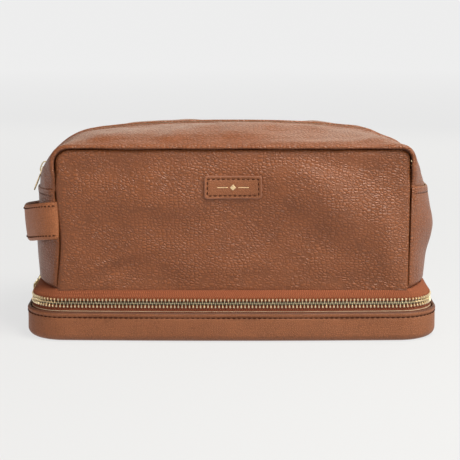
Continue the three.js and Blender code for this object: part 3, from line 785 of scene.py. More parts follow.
# ---- the base compartment -----------------------------------------------------------------
def build_base():
    r, inner = BOTTOM_EDGE, BOTTOM_EDGE - WALL_THICK
    top = WALL_TOP
    outside = arc_points((r, r), r, 270, 180, 12)
    lip = [(0, 10.5), (0, 13), (0, 15.3), (0.1, 16.1), (0.5, 16.7), (0.1, 17.3), (-0.25, 18.1),
           (-0.3, 18.9), (0.0, 19.7), (0.6, top), (1.3, top + 0.05), (2.0, 19.7), (2.3, 18.8),
           (WALL_THICK, 17), (WALL_THICK, 12)]
    inside = arc_points((r, r), inner, 180, 270, 8)
    profile = outside + lip + inside
    # Painted shade inside the wall's lip, on its rounded top edge and in the crease at the stitch line.
    shade = [0.9 if inset > 0.5 and z > 15 else 0.75 if z > 19.5 or z == 16.7 else 0.0
             for inset, z in profile]
    wall = hoop("base_wall_leather", profile, SMOOTH,
                lambda grid: wobble(grid, 40, 0.55) * smoothstep(grid[..., 2], 0, 9), shade)
    ride(wall, "base", "smooth_leather", "base_wall")

    around = np.linspace(0, LOOP_LENGTH, 900)
    place, normal = outline(around, 0.35)
    line = np.concatenate([place, np.full((len(around), 1), 16.7)], 1)
    facing = np.concatenate([normal, np.zeros((len(around), 1))], 1)
    row = stitches("base_wall_stitches", line, facing, 3.45, 2.5, 0.42)
    ride(row, "base", "smooth_leather")

    outline_in, _ = outline(ALL_ROUND[::2], BOTTOM_EDGE + 0.25)
    bottom = pan("base_bottom_leather", outline_in, slab_profile(2.0, 1.0), level, [SMOOTH],
                 rumple(0.25, 60, 2, 20))
    ride(bottom, "base", "smooth_leather", "base_bottom_panel")

    low, high = node_box("base_lining")
    loop, _ = outline(ALL_ROUND[::2], 5.4)
    depth = high[2] - low[2]
    tub = lining_profile(0.8, depth, 3.0, flare=2.3)
    lining = pan("base_lining_cloth", loop, [(i, s, h + low[2]) for i, s, h in tub], level,
                 [LINING], rumple(0.7, 22, 4, 14))
    ride(lining, "base", "lining_cloth", "base_lining")

    tape_low = band_grid([(2.9, 13.0), (3.0, 15), (3.1, 17), (3.3, 19), (3.7, 20.5), (4.1, 22),
                          (CHAIN_INSET, 23.2), (CHAIN_INSET, 24.6)], ZIP_RUN)
    tape = shell("base_zip_tape_lower_cloth", tape_low[:, ::-1], TAPE_THICK, SHADED_TAPE)
    ride(tape, "base", "zip_tape", "base_zip_tape_lower")

    lower = zip_teeth("base_zip_lower_teeth", *base_chain(), (0, 0, -1), 0.0)
    ride(lower, "base", "zip_brass", "base_zip_teeth_lower")
    upper = zip_teeth("base_zip_upper_teeth", *base_chain(), (0, 0, 1), 0.5)
    ride(upper, "main_bag", "zip_brass", "base_zip_teeth_upper")

    slope = shell("base_zip_tape_upper_cloth", shoulder_grid(ZIP_RUN)[:, ::-1], TAPE_THICK, TAPE)
    ride(slope, "main_bag", "zip_tape", "base_zip_tape_upper")

    reach = np.linspace(-ZIP_END_X + 0.4, ZIP_END_X - 0.4, 120)
    hinge_grid = shoulder_grid(reach, ((2.3, 14.0), (2.0, 17.0), (1.2, 20.6), (0.9, 23.0),
                                       (0.9, 26.0), (1.3, 28.6)), 1.3)
    hinge = shell("rear_hinge_leather", hinge_grid, 1.5, SMOOTH, LINING)
    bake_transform(hinge)
    settle(hinge, "smooth_leather", "rear_hinge_lower", "rear_hinge_upper")


def lining_profile(thick, depth, corner, flare=0.0):
    """The pan profile of a cloth tub: under its floor, up outside, over the rim and down inside."""
    shares = np.linspace(0.08, 1, 14)
    heights = np.linspace(corner, depth - 2.5, 10)
    under = [(corner, s, 0.0) for s in shares[:-1]]
    bend = [(corner - corner * math.sin(math.radians(a)), 1.0, corner - corner * math.cos(math.radians(a)))
            for a in (0, 25, 50, 75)]
    outside = [(0.0, 1.0, h) for h in heights]
    rim = [(-0.5 * flare, 1.0, depth - 1.3), (-flare, 1.0, depth - 0.4), (-flare + 0.3, 1.0, depth),
           (-0.6 * flare + thick, 1.0, depth - 0.2), (thick, 1.0, depth - 1.8)]
    inside = [(thick, 1.0, h) for h in heights[::-1]]
    low = corner - thick
    back = [(corner - low * math.sin(math.radians(a)), 1.0, corner - low * math.cos(math.radians(a)))
            for a in (75, 50, 25, 0)]
    floor = [(corner, s, thick) for s in shares[:-1][::-1]]
    return under + bend + outside + rim + inside + back + floor


def base_chain():
    """Points and outward directions along the middle of the base zip's teeth."""
    fine = np.linspace(ZIP_START, ZIP_STOP, 2400)
    place, normal = outline(fine, CHAIN_INSET)
    points = np.concatenate([place, np.full((len(fine), 1), CHAIN_Z)], 1)
    return points, np.concatenate([normal, np.zeros((len(fine), 1))], 1)


def foot_radius(angle):
    """How far the foot of the main bag lies from the middle, in a direction seen from above."""
    w = np.linspace(-1, 1, 81)
    left, right = gusset(np.full(81, -1.0), w), gusset(np.full(81, 1.0), w)
    x = np.linspace(left[0, 0], right[0, 0], 200)
    y = np.full(200, BAG_HALF_Y)
    loop = np.vstack([right[:, :2], np.stack([x[::-1], y], 1), left[::-1, :2], np.stack([x, -y], 1)])
    at = np.arctan2(loop[:, 1], loop[:, 0])
    order = np.argsort(at)
    return np.interp(angle, at[order], np.linalg.norm(loop, axis=1)[order], period=2 * math.pi)


CHAIN_FOOT = ((CHAIN_INSET, 27.2), (CHAIN_INSET, 28.4), (4.25, 29.4), (4.2, 30.0))


def shoulder_grid(distances, foot=CHAIN_FOOT, tuck=1.6):
    """Middle points of the band that rises from the zip to the foot of the main bag."""
    low = band_grid(foot, distances)
    start = low[:, -1]
    angle = np.arctan2(start[:, 1], start[:, 0])
    radius = foot_radius(angle) - tuck
    finish = np.stack([radius * np.cos(angle), radius * np.sin(angle),
                       np.full(len(angle), BAG_Z + 0.1)], 1)
    k = np.linspace(0, 1, 12)[1:, None, None]
    slope = start * (1 - k) + finish * k
    slope[..., 2] += np.sin(math.pi * k[..., 0]) * 0.7
    slope[..., 2] += wobble(slope, 30, 0.35) * np.sin(math.pi * k[..., 0])
    tuck_in = finish + (finish - start) * [0.12, 0.12, 0.0] + [0, 0, 0.8]
    return np.concatenate([low, slope.transpose(1, 0, 2), tuck_in[:, None]], 1)


def zip_teeth(name, path, outward, towards, start):
    """One row of metal teeth along a path. towards points from the chain's middle to the row's
    own tape, and start is where the first tooth stands, in pitches."""
    shape, faces = lofted([
        [(a, b, c) for a, b in octagon(half_a, half_b, 0.6)]
        for c, half_a, half_b in ((3.15, 0.40, 0.9), (2.95, 0.62, 1.3), (2.3, 0.66, 1.45),
                                  (1.75, 0.5, 1.35), (1.45, 0.30, 0.8), (0.95, 0.26, 0.7),
                                  (0.55, 0.32, 0.9), (0.1, 0.44, 1.1), (-0.3, 0.38, 1.0),
                                  (-0.55, 0.22, 0.6))
    ])
    at = lengths_along(path)
    towards = np.array(towards, float)
    places = []
    for where in np.arange(start * PITCH + PITCH, at[-1] - PITCH, PITCH):
        out = unit(point_at(where, at, outward))
        places.append((point_at(where, at, path), np.cross(out, towards), out, towards))
    return repeat(name, shape, faces, places, BRASS)


# ---- the main bag -------------------------------------------------------------------------
def panel_loop(seam):
    """The outline of the front or back panel in X and Z. It covers the side panels' edges lower
    down, draws in beside the rolled edge of the gusset, and runs on below its foot."""
    inset = 3.0
    half = SEAM_HALF_X - inset
    low, high = BAG_Z - 4.0, seam["top"] - inset
    r_left, r_right = (r - inset for r in seam["corner"])
    r_low = 1.5
    corners = ((1, low + r_low, r_low, -90), (1, high - r_right, r_right, 0),
               (-1, high - r_left, r_left, 90), (-1, low + r_low, r_low, 180))
    line = round_corners([(SEAM_SHIFT + right * (half - r), z, r, start)
                          for right, z, r, start in corners], 22, 3.0)
    side = np.sign(line[:, 0]) * smoothstep(np.abs(line[:, 0]), 100, 116)
    line[:, 0] += side * overlap(line[:, 1]) + seam_bow(line[:, 0], line[:, 1])
    return line


PANEL_SHARES = 1 - np.linspace(0, 1, 46)[1:-1] ** 1.25
PANEL_KINDS = [1] * len(PANEL_SHARES) + [0]  # the lined inner face, then the leather


def panel_profile(thick=LEATHER):
    """The pan profile of a panel whose edges turn back into the seams."""
    outer = [(0.0, 1.0, -6.0), (0.0, 1.0, -4.2), (0.15, 1.0, -2.8), (0.55, 1.0, -1.6),
             (1.2, 1.0, -0.7), (2.1, 1.0, -0.1), (3.2, 1.0, 0.25), (4.4, 1.0, 0.45)]
    inner = [(i + 1.2 * (h > -3), s, h - thick * (h > -3)) for i, s, h in outer]
    top = [(4.4, s, 0.45 + 0.75 * (1 - s**6)) for s in PANEL_SHARES]
    under = [(5.0, s, 0.45 - thick + 0.75 * (1 - s**6)) for s in PANEL_SHARES[::-1]]
    return under + [(i, s, h - 0.8) for i, s, h in inner[1:][::-1]] + [(0.9, 1.0, -6.0)] + outer + top


def panel_shade(x, z, away):
    """The shade round a panel's edge: in its seams, and along its foot over the zip."""
    return np.maximum(0.85 * (1 - smoothstep(away, 0.2, 0.9)),
                      0.8 * smoothstep(z, BAG_Z + 0.5, BAG_Z - 0.5))


def front_relief(x, z, away):
    """Where the front of a soft, part-filled bag is pressed in and stands out."""
    fade = smoothstep(away, 2.0, 18.0)
    spot = np.stack([x, 0 * x, z], -1)
    push = 1.6 * wobble(spot, 50, 1.0, 3.0) + 0.7 * wobble(spot, 20, 1.0, 8.0)
    ridge = (z - 106) + 0.53 * (x - 45)  # a swell that falls to the right from above the patch
    push += 4.6 * bell(ridge, 0, 23) * bell(x, 72, 56)
    push += 3.0 * bell(z, 99, 19) * bell(x, -62, 42)
    push -= 1.2 * bell(z, 78, 14) * bell(x, -58, 44)
    crease = (z - 49) - 0.28 * (x + 92) - 3.0 * np.sin((x + 92) / 17)
    push += 0.9 * bell(crease, 0, 4.2) * bell(x, -84, 24)
    push -= 0.8 * bell(crease, -7, 4.8) * bell(x, -82, 24)
    push += 0.6 * bell(z, 48, 10) * bell(x, 30, 80)
    push -= 2.4 * ((z - 76) / 54) ** 2
    return push * fade


def back_relief(x, z, away):
    fade = smoothstep(away, 2.0, 16.0)
    spot = np.stack([x, 0 * x, z], -1)
    push = 1.2 * wobble(spot, 48, 1.0, 21.0) + 0.4 * wobble(spot, 18, 1.0, 27.0)
    return (push + 0.9 * bell(x, -25, 55) * bell(z, 86, 28)) * fade


def panel_place(facing):
    """Stands a panel that is drawn flat up in the front (-1) or the back (1) of the bag."""
    def place(p):
        return np.stack([-facing * p[:, 0], facing * (BAG_HALF_Y + p[:, 2]),
                         np.maximum(p[:, 1], BAG_Z - 0.8)], 1)

    return place


def build_panels():
    back_loop = (panel_loop(BACK_SEAM) * [-1, 1])[::-1]
    for half, facing, loop, relief in (("front", -1, panel_loop(FRONT_SEAM), front_relief),
                                       ("back", 1, back_loop, back_relief)):
        panel = pan(f"{half}_panel_leather", loop, panel_profile(), panel_place(facing),
                    [PEBBLED, LINING], relief, PANEL_KINDS, panel_shade)
        ride(panel, "main_bag", "pebbled_leather", f"{half}_panel")

    angle = np.linspace(-math.pi, math.pi, 240, endpoint=False)
    radius = foot_radius(angle) - 3.2
    loop = np.stack([radius * np.cos(angle), radius * np.sin(angle)], 1)
    low, high = node_box("floor_panel")
    floor = pan("floor_leather", loop, slab_profile(high[2] - low[2], 0.9, low=low[2]), level,
                [SMOOTH], rumple(-0.5, 42, 3, 20))
    ride(floor, "main_bag", "smooth_leather", "floor_panel")


# The outer face of a gusset's edge, from inside the seam, as (forward of the seam, lift).
ROLL = [(-6.5, -3.6), (-3.6, -3.5), (-1.4, -3.35), (0.3, -3.1), (1.5, -2.5), (1.9, -1.5),
        (1.4, -0.55), (0.0, 0.0), (-3.2, 0.1)]
TUCK = [(-7.0, -3.4), (-4.6, -3.2), (-2.4, -2.6), (-1.5, -1.7), (-1.7, -0.8), (-2.9, -0.1),
        (-4.6, 0.1)]


def seam_columns(outer_face, count=26):
    """(w, lift) of the middle of the leather and the shade of the seam, from inside it outwards."""
    line = curve_through(outer_face, count)
    ahead = unit(np.gradient(line, axis=0))
    middle = line - np.stack([ahead[:, 1], -ahead[:, 0]], 1) * LEATHER / 2
    return 1 + middle[:, 0] / BAG_HALF_Y, middle[:, 1], smoothstep(line[:, 1], -1.7, -3.1)


def top_gusset_columns(outer_face):
    """(w, lift, shade) across one half of the top gusset, from the seam to the zip's edge."""
    w, lift, shade = seam_columns(outer_face)
    sweep = np.linspace(w[-1], ZIP_SIDE / BAG_HALF_Y, 26)[1:]
    y = np.linspace(ZIP_SIDE, ZIP_EDGE, 20)[1:]
    fold = 0.45 * smoothstep(y, 10.2, 8.0) - 0.5 * bell(y, ZIP_SEAM, 0.55) - LEATHER / 2 + 0.1
    level_lift = np.full(len(sweep), 0.1 - LEATHER / 2)
    return (np.concatenate([w, sweep, y / BAG_HALF_Y]), np.concatenate([lift, level_lift, fold]),
            np.concatenate([shade, 0 * sweep, 0.35 * bell(y, ZIP_SEAM, 0.6)]))


TOP_T = 0.716  # where the top's leather and tapes end, down both sides
ROLL_FADE = (0.665, 0.705)  # where the roll dies away into the side's seam
TOP_CHAIN = (-0.655, 0.705)  # from the first to the last of the teeth
TAPE_MIDDLE = -TAPE_DEPTH - TAPE_THICK / 2


def end_nodes(piece, half):
    """The CAD nodes of a strip's fixed ends."""
    return [f"{end}_{piece}_{half}" for end in ("left", "right")]


def top_leather(half, side):
    t = np.linspace(-TOP_T, TOP_T, 300)[:, None]
    tucked = smoothstep(np.abs(t), *ROLL_FADE)
    w, lift, shade = (roll * (1 - tucked) + tuck * tucked for roll, tuck in
                      zip(top_gusset_columns(ROLL), top_gusset_columns(TUCK)))
    grid = gusset(t, side * w, lift)
    normal = grid_normals(grid) * -side
    inland = smoothstep(np.abs(w), 0.98, 0.8) * smoothstep(np.abs(w), 0.14, 0.3)
    push = (2.2 * wobble(grid, 40, 1.0, 11.0 + side) + 0.9 * wobble(grid, 17, 1.0, 15.0)) * inland
    push -= 0.5 * wobble(grid, 26, 1.0, 31.0) * smoothstep(np.abs(w), 0.8, 0.95)
    grid = (grid + normal * push[..., None])[:, ::-side]
    return shell(f"top_gusset_{half}_leather", grid, LEATHER, PEBBLED, LINING, shade=shade[:, ::-side])


def top_stitches(half, side):
    run = np.linspace(-0.7, 0.7, 500)
    line = gusset(run, side * ZIP_SEAM / BAG_HALF_Y, -0.35)
    return stitches(f"top_zip_{half}_stitches", line, arch_normals(run), 3.2, 2.3, 0.38)


def top_tape(half, side):
    across = (side * np.linspace(1.7, TAPE_EDGE, 10))[::-side]
    line = arch("middle", np.linspace(-TOP_T, TOP_T, 260), TAPE_MIDDLE)
    grid = np.stack([np.repeat(line[:, :1], 10, 1), np.tile(across, (260, 1)),
                     np.repeat(line[:, 1:], 10, 1)], -1)
    return shell(f"top_zip_{half}_tape", grid[:, ::side], TAPE_THICK, TAPE)


def top_teeth(half, side):
    t = np.linspace(*TOP_CHAIN, 3000)
    line = arch("middle", t, TAPE_MIDDLE)
    path = np.stack([line[:, 0], 0 * t, line[:, 1]], 1)
    return zip_teeth(f"top_zip_{half}_teeth", path, arch_normals(t), (0, side, 0),
                     0.0 if side < 0 else 0.5)


def build_top():
    for half, side in (("front", -1), ("back", 1)):
        for make, slot, replaced in (
                (top_leather, "pebbled_leather", [f"top_strip_{half}", *end_nodes("corner_strip", half)]),
                (top_stitches, "pebbled_leather", []),
                (top_tape, "zip_tape", [f"top_zip_tape_{half}", *end_nodes("zip_end_tape", half)]),
                (top_teeth, "zip_brass", [f"top_zip_teeth_{half}", *end_nodes("zip_end_teeth", half)])):
            piece = make(half, side)
            bend(piece, f"top_{half}_flap")
            settle(piece, slot, *replaced)


def arch_normals(t):
    step = arch("middle", t, 1.0) - arch("middle", t, 0.0)
    return unit(np.stack([step[:, 0], 0 * t, step[:, 1]], 1))


def bend(obj, body):
    """Bakes a piece of the top's placement into its mesh."""
    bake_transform(obj)


SIDE_TOP = {"middle": 99.5, "seam": 105.0}  # heights of a side panel's turned edge
SIDE_SPAN = 0.3  # arch parameters that count as one share down a side panel
SIDE_SEAM = 0.068  # the share where its stitches run


def side_top(w):
    """The arch parameter of a side panel's turned top edge."""
    wanted = SIDE_TOP["middle"] + (SIDE_TOP["seam"] - SIDE_TOP["middle"]) * np.abs(w) ** 1.5
    t = np.linspace(CORNER_SHARE, 0.8, 60)
    height = gusset(t[:, None], np.asarray(w)[None])[..., 2]
    return np.array([np.interp(-goal, -height[:, i], t) for i, goal in enumerate(wanted)])


def side_grid(side, lift, w, t):
    """Points of a side panel at rows of arch parameters, with the lift of its seams."""
    down = (t - side_top(w)[None]) / SIDE_SPAN  # share of the way from the turned edge
    edge = np.abs(w[None])
    over = 1.3 - 1.1 * smoothstep(down, 0.02, 0.3)
    over = over * smoothstep(edge, 0.99, 0.93)
    ridge = 0.35 * smoothstep(down, 0.085, 0.04) - 0.45 * bell(down, SIDE_SEAM, 0.0075)
    ridge = ridge * smoothstep(edge, 0.965, 0.93)
    foot = -2.0 * smoothstep(t, 0.985, 1.0)
    return gusset(side * t, w[None], lift[None] + over + ridge + foot), down


def build_sides():
    seam_w, seam_lift, seam_shade = seam_columns(TUCK, 22)
    sweep = np.linspace(seam_w[-1], -seam_w[-1], 64)[1:-1]
    w = np.concatenate([seam_w, sweep, -seam_w[::-1]])
    lift = np.concatenate([seam_lift, np.full(62, 0.1 - LEATHER / 2), seam_lift[::-1]])
    dark = np.concatenate([seam_shade, 0 * sweep, seam_shade[::-1]])
    k = np.linspace(0, 1, 150)[:, None]
    for name, side in (("left", -1), ("right", 1)):
        across = w if side < 0 else -w
        top = side_top(across)[None]
        t = top + (1 - top) * k
        grid, down = side_grid(side, lift, across, t)
        normal = grid_normals(grid)
        fade = smoothstep(np.abs(w), 0.98, 0.75)[None] * smoothstep(down, 0.1, 0.35)
        fade = fade * smoothstep(t, 1.0, 0.95)
        push = (1.3 * wobble(grid, 40, 1.0, 40.0 + side) + 0.5 * wobble(grid, 17, 1.0, 45.0)) * fade
        grid = grid + normal * push[..., None]
        shade = np.maximum(dark[None], smoothstep(t, 0.985, 1.0))
        shade = np.maximum(shade, 0.35 * bell(down, SIDE_SEAM, 0.008))
        panel = shell(f"{name}_side_leather", grid, LEATHER, PEBBLED, LINING, shade=shade)
        ride(panel, "main_bag", "pebbled_leather", f"{name}_side_panel")

        along = np.linspace(-0.96, 0.96, 300)
        line, _ = side_grid(side, np.full(300, 0.12), along, side_top(along)[None] + SIDE_SEAM * SIDE_SPAN)
        out = np.repeat(arch_normals(np.full(1, side * 0.7)), 300, 0)
        row = stitches(f"{name}_side_stitches", line[0], out, 3.3, 2.3, 0.38)
        ride(row, "main_bag", "pebbled_leather")


# ---- the handle ---------------------------------------------------------------------------
# The outer face of the handle's middle line, from the front seam to the back one.
STRAP_LINE = [(-115.4, -55.6, 81.8), (-117.0, -57.8, 81.7), (-121.6, -57.2, 81.2), (-127.6, -53.0, 80.2),
              (-134.6, -43.4, 78.1), (-141.5, -27.8, 75.0), (-145.4, -12.0, 72.8), (-146.4, 0.0, 72.0),
              (-145.4, 12.0, 71.0), (-141.5, 27.8, 69.6), (-134.6, 43.4, 69.2), (-127.6, 53.0, 69.8),
              (-121.6, 57.2, 70.4), (-117.0, 57.8, 70.8), (-115.4, 55.6, 71.0)]
STRAP_WIDTH, STRAP_TILT = 25.4, 1.0


def strap_grid(depth, half_width, rows=150, columns=25):
    """Points of a layer of the handle, at a depth inside its outer face."""
    line = curve_through(STRAP_LINE, rows)
    tangent = unit(np.gradient(line, axis=0) * [1, 1, 0])
    out = np.stack([-tangent[:, 1], tangent[:, 0], 0 * tangent[:, 0]], 1)
    v = np.linspace(-half_width, half_width, columns)
    share = 1 - np.clip(np.abs(line[:, 1]) / 57.0, 0, 1) ** 3
    lean = STRAP_TILT * share[:, None] * v[None] / (STRAP_WIDTH / 2)
    crown = -0.5 * (v[None] / (STRAP_WIDTH / 2)) ** 2
    push = lean + crown - depth
    grid = line[:, None] + out[:, None] * push[..., None]
    grid[..., 2] += v[None]
    return grid, out


def build_handle():
    half = STRAP_WIDTH / 2
    outer, _ = strap_grid(0.8, half)
    inner, _ = strap_grid(2.15, half - 0.4)
    for name, grid, thick, slot, node in (
            ("handle_outer_leather", outer, 1.5, "strap_leather", "handle_strap_outer"),
            ("handle_inner_leather", inner, 1.2, "smooth_leather", "handle_strap_inner")):
        grid = (grid + wobble(grid, 30, 0.3)[..., None] * [1, 0, 0])[:, ::-1]
        strap = shell(name, grid, thick, STRAP, EDGE)
        ride(strap, "main_bag", slot, node)
    for name, across in (("upper", half - 2.6), ("lower", -half + 2.6)):
        grid, out = strap_grid(0.05, half)
        at = (across + half) / (2 * half) * (grid.shape[1] - 1)
        j = int(at)
        line = grid[:, j] * (1 - at + j) + grid[:, j + 1] * (at - j)
        keep = line[:, 0] < -117.6
        row = stitches(f"handle_{name}_stitches", line[keep], out[keep], 3.2, 2.3, 0.44)
        ride(row, "main_bag", "strap_leather")


# ---- the label patch ----------------------------------------------------------------------
def front_height(x, z):
    """How far the front panel's face stands out in front of the seams."""
    spot = np.stack([x, z], -1)
    return 1.2 + front_relief(x, z, edge_distance(spot, panel_loop(FRONT_SEAM)))


def build_patch():
    low, high = node_box("label_patch")
    centre = 0.5 * (low + high)
    spread = 0.4  # of the leather under its stitches
    half_x, half_z = 0.5 * (high[0] - low[0]), 0.5 * (high[2] - low[2]) + spread
    thick = 1.5
    sunk = 0.3  # into the pebbled leather, under the stitches' pull

    def place(p):
        x, z = centre[0] + p[:, 0], centre[2] + p[:, 1]
        return np.stack([x, -BAG_HALF_Y - front_height(x, z) + sunk - p[:, 2], z], 1)

    def press(a, b, away):
        return -0.32 * bell(away, 2.2, 0.5) + 0.12 * smoothstep(away, 3.0, 6.0)

    inset = [0.45, 0.8, 1.3, 1.7, 2.0, 2.2, 2.4, 2.7, 3.2, 4.0, 5.0]
    edge = [(0.45, 1.0, 0.0), (0.1, 1.0, 0.12), (0.0, 1.0, 0.4), (0.0, 1.0, thick - 0.35),
            (0.15, 1.0, thick - 0.08)]
    top = [(i, 1.0, thick) for i in inset] + [(5.0, s, thick) for s in (0.8, 0.6, 0.4, 0.2, 0.05)]
    under = [(0.45, s, 0.0) for s in (0.1, 0.5, 0.9)]
    loop = rounded_loop(half_x, half_z, 2.2, spacing=1.2)
    kinds = [1] * 9 + [0] * 30
    patch = pan("label_patch_leather", loop, under + edge + top, place, [SMOOTH, EDGE], press, kinds)
    ride(patch, "main_bag", "smooth_leather", "label_patch")

    ring = rounded_loop(half_x - 2.2, half_z - 2.2, 0.8, arc=4, spacing=0.8)
    ring = np.vstack([ring, ring[:1]])
    flat = np.concatenate([ring, np.full((len(ring), 1), thick - 0.22)], 1)
    line = place(flat)
    row = stitches("label_patch_stitches", line, np.tile([0, -1, 0], (len(line), 1)), 3.3, 2.3, 0.38)
    ride(row, "main_bag", "smooth_leather")

    def foil(name, loop_2d):
        piece = pan(name, loop_2d, slab_profile(0.16, 0.06, shares=3, low=thick + 0.05), place, [FOIL])
        ride(piece, "main_bag", "zip_brass")

    for name, side in (("left", -1), ("right", 1)):
        foil(f"patch_rule_{name}", rounded_loop(3.6, 0.28, 0.2, (side * 7.0, 0.0), 3, 1.0))
    lozenge = np.array([(2.1, 0.0), (0.0, 2.0), (-2.1, 0.0), (0.0, -2.0)])
    fine = np.vstack([a + (b - a) * k for a, b in zip(lozenge, np.roll(lozenge, -1, 0))
                      for k in (0.0, 0.25, 0.5, 0.75)])
    foil("patch_lozenge", fine)


# ---- sliders and pulls --------------------------------------------------------------------
def metal_plate(outline_2d, holes, thick, bevel):
    """Vertices and faces of a plate with bevelled edges, flat on Z, from loops in X and Y."""
    curve = bpy.data.curves.new("plate", "CURVE")
    curve.dimensions = "2D"
    curve.fill_mode = "BOTH"
    curve.extrude = thick / 2 - bevel
    curve.bevel_depth = bevel
    curve.bevel_resolution = 2
    curve.offset = -bevel
    for loop in [outline_2d, *holes]:
        spline = curve.splines.new("POLY")
        spline.points.add(len(loop) - 1)
        for point, (x, y) in zip(spline.points, loop):
            point.co = (x, y, 0, 1)
        spline.use_cyclic_u = True
    obj = bpy.data.objects.new("plate", curve)
    bpy.context.scene.collection.objects.link(obj)
    bpy.context.view_layer.update()
    mesh = bpy.data.meshes.new_from_object(obj.evaluated_get(bpy.context.evaluated_depsgraph_get()))
    vertices = np.array([v.co for v in mesh.vertices])
    faces = [tuple(p.vertices) for p in mesh.polygons]
    bpy.data.objects.remove(obj)
    bpy.data.curves.remove(curve)
    bpy.data.meshes.remove(mesh)
    return vertices, faces


def merge(parts):
    vertices, faces, start = [], [], 0
    for part_vertices, part_faces in parts:
        vertices.append(part_vertices)
        faces += [tuple(start + i for i in face) for face in part_faces]
        start += len(part_vertices)
    return np.vstack(vertices), faces


def smooth_outline(points, count=48):
    """A closed smooth outline through a few points."""
    p = np.array(points, float)
    wrapped = np.vstack([p[-1:], p, p[:2]])
    fine = spline(wrapped, 12)
    return resample(np.vstack([fine, fine[:1]]), count + 1)[:-1]


SLIDER = {"width": 8.4, "blade": 0.8, "gap": 1.8}
TOP_SLIDER = {"length": 9.2, "crown": 8.6, "rise": 3.4}
BASE_SLIDER = {"length": 8.6, "crown": 7.0, "rise": 2.5}
CROWN_BAR = 0.8
PULL = {"length": 18.0, "width": 5.6, "thick": 0.9, "eye": 5.2}
TOP_SLIDER_ANGLE = 22.5


def pivot_height(size):
    return SLIDER["gap"] + SLIDER["blade"] + 0.5 * (size["rise"] - CROWN_BAR)


def mirrored(points):
    """A closed outline from its half above the X axis, listed from the nose to the tail."""
    half = np.array(points, float)
    return np.vstack([half, (half * [1, -1])[::-1]])


def slider_parts(size):
    length, width = size["length"] / 2, SLIDER["width"] / 2
    shield = smooth_outline(mirrored([(length, 0.9), (length - 0.5, width - 1.1), (length - 2.0, width),
                                      (0.0, width - 0.3), (1.2 - length, width - 0.9),
                                      (-length, width - 1.6), (-length, 0.8)]))
    parts = []
    for centre in (SLIDER["gap"] + SLIDER["blade"] / 2, -SLIDER["gap"] - SLIDER["blade"] / 2):
        vertices, faces = metal_plate(shield, [], SLIDER["blade"], 0.3)
        parts.append((vertices + [0, 0, centre], faces))
    diamond = smooth_outline([(length - 0.5, 0), (length - 1.8, 0.75), (length - 3.8, 0),
                              (length - 1.8, -0.75)], 20)
    parts.append(metal_plate(diamond, [], 2 * SLIDER["gap"] + 0.4, 0.1))
    for side in (-1, 1):
        rim = [(length - 2.6, side * (width - 0.95)), (length - 2.6, side * (width - 0.1)),
               (1.0 - length, side * (width - 0.95)), (1.0 - length, side * (width - 1.7))]
        rim = rim if side > 0 else rim[::-1]
        for z in (SLIDER["gap"] - 0.25, -SLIDER["gap"] + 0.25):
            vertices, faces = metal_plate(rim[::-1], [], 0.8, 0.15)
            parts.append((vertices + [0, 0, z], faces))
    return merge(parts)


def crown_parts(size):
    """The loop on top of a slider that holds the pull."""
    top = SLIDER["gap"] + SLIDER["blade"]
    half, high = 0.5 * (size["crown"] - CROWN_BAR), size["rise"] - 0.5 * CROWN_BAR
    line = curve_through([(-half, -0.3), (-half, 0.45 * high), (-0.72 * half, 0.88 * high), (0, high),
                          (0.72 * half, 0.88 * high), (half, 0.45 * high), (half, -0.3)], 34)
    tangent = unit(np.gradient(line, axis=0))
    out = np.stack([-tangent[:, 1], tangent[:, 0]], 1)
    ring = octagon(0.5 * CROWN_BAR, 1.0, 0.62)
    sections = [[(p[0] + n[0] * a, b, top + p[1] + n[1] * a) for a, b in ring]
                for p, n in zip(line, out)]
    return lofted(sections)


def pull_parts():
    length, width, eye = PULL["length"], PULL["width"] / 2, PULL["eye"]
    outer = smooth_outline(mirrored([(0.45, 0.9), (0.2, 2.1), (-1.6, 2.45), (-eye - 0.4, 2.2),
                                     (-eye - 2.2, width - 0.15), (-length + 3.4, width),
                                     (-length + 0.8, width - 0.9), (-length, 0.9)]), 72)
    window = smooth_outline(mirrored([(-0.45, 0.8), (-0.8, 1.4), (-eye + 0.8, 1.35), (-eye, 0.7)]), 30)
    slot = smooth_outline(mirrored([(-eye - 3.6, 0.5), (-eye - 4.2, 0.95), (-length + 3.4, 0.95),
                                    (-length + 2.8, 0.5)]), 30)
    return metal_plate(outer, [window, slot], PULL["thick"], 0.22)


def add_slider(name, size, place, nose, out, lies):
    """A slider with its crown, and its pull, which lies towards the nose for 1 and away for -1."""
    nose, out = np.array(nose, float), np.array(out, float)
    turn = np.array([nose, np.cross(out, nose), out])
    vertices, faces = merge([slider_parts(size), crown_parts(size)])
    slider = make_object(f"{name}_slider_metal", place + vertices @ turn, faces, [SLIDER_BRASS],
                         crease=38)
    ride(slider, f"{name}_slider", "slider_brass", f"{name}_slider")
    vertices, faces = pull_parts()
    vertices = vertices * [-lies, -lies, 1] + [0, 0, pivot_height(size)]
    pull = make_object(f"{name}_pull_metal", place + vertices @ turn, faces, [SLIDER_BRASS], crease=38)
    ride(pull, f"{name}_pull", "slider_brass", f"{name}_pull")


def build_sliders():
    centre, _ = corner_arc(LEFT)
    angle = math.radians(TOP_SLIDER_ANGLE)
    out = np.array([-math.cos(angle), 0, math.sin(angle)])
    reach = CORNER_R + TAPE_MIDDLE
    at = np.array([-centre[0], 0, centre[1]]) + out * reach
    add_slider("top_zip", TOP_SLIDER, at, (-math.sin(angle), 0, -math.cos(angle)), out, 1)
    for name, nose in (("base_zip_front", 1), ("base_zip_rear", -1)):
        low, high = node_box(f"{name}_slider")
        place = np.array([-BASE_HALF_X + CHAIN_INSET, 0.5 * (low[1] + high[1]), CHAIN_Z])
        add_slider(name, BASE_SLIDER, place, (0, nose, 0), (-1, 0, 0), -1)


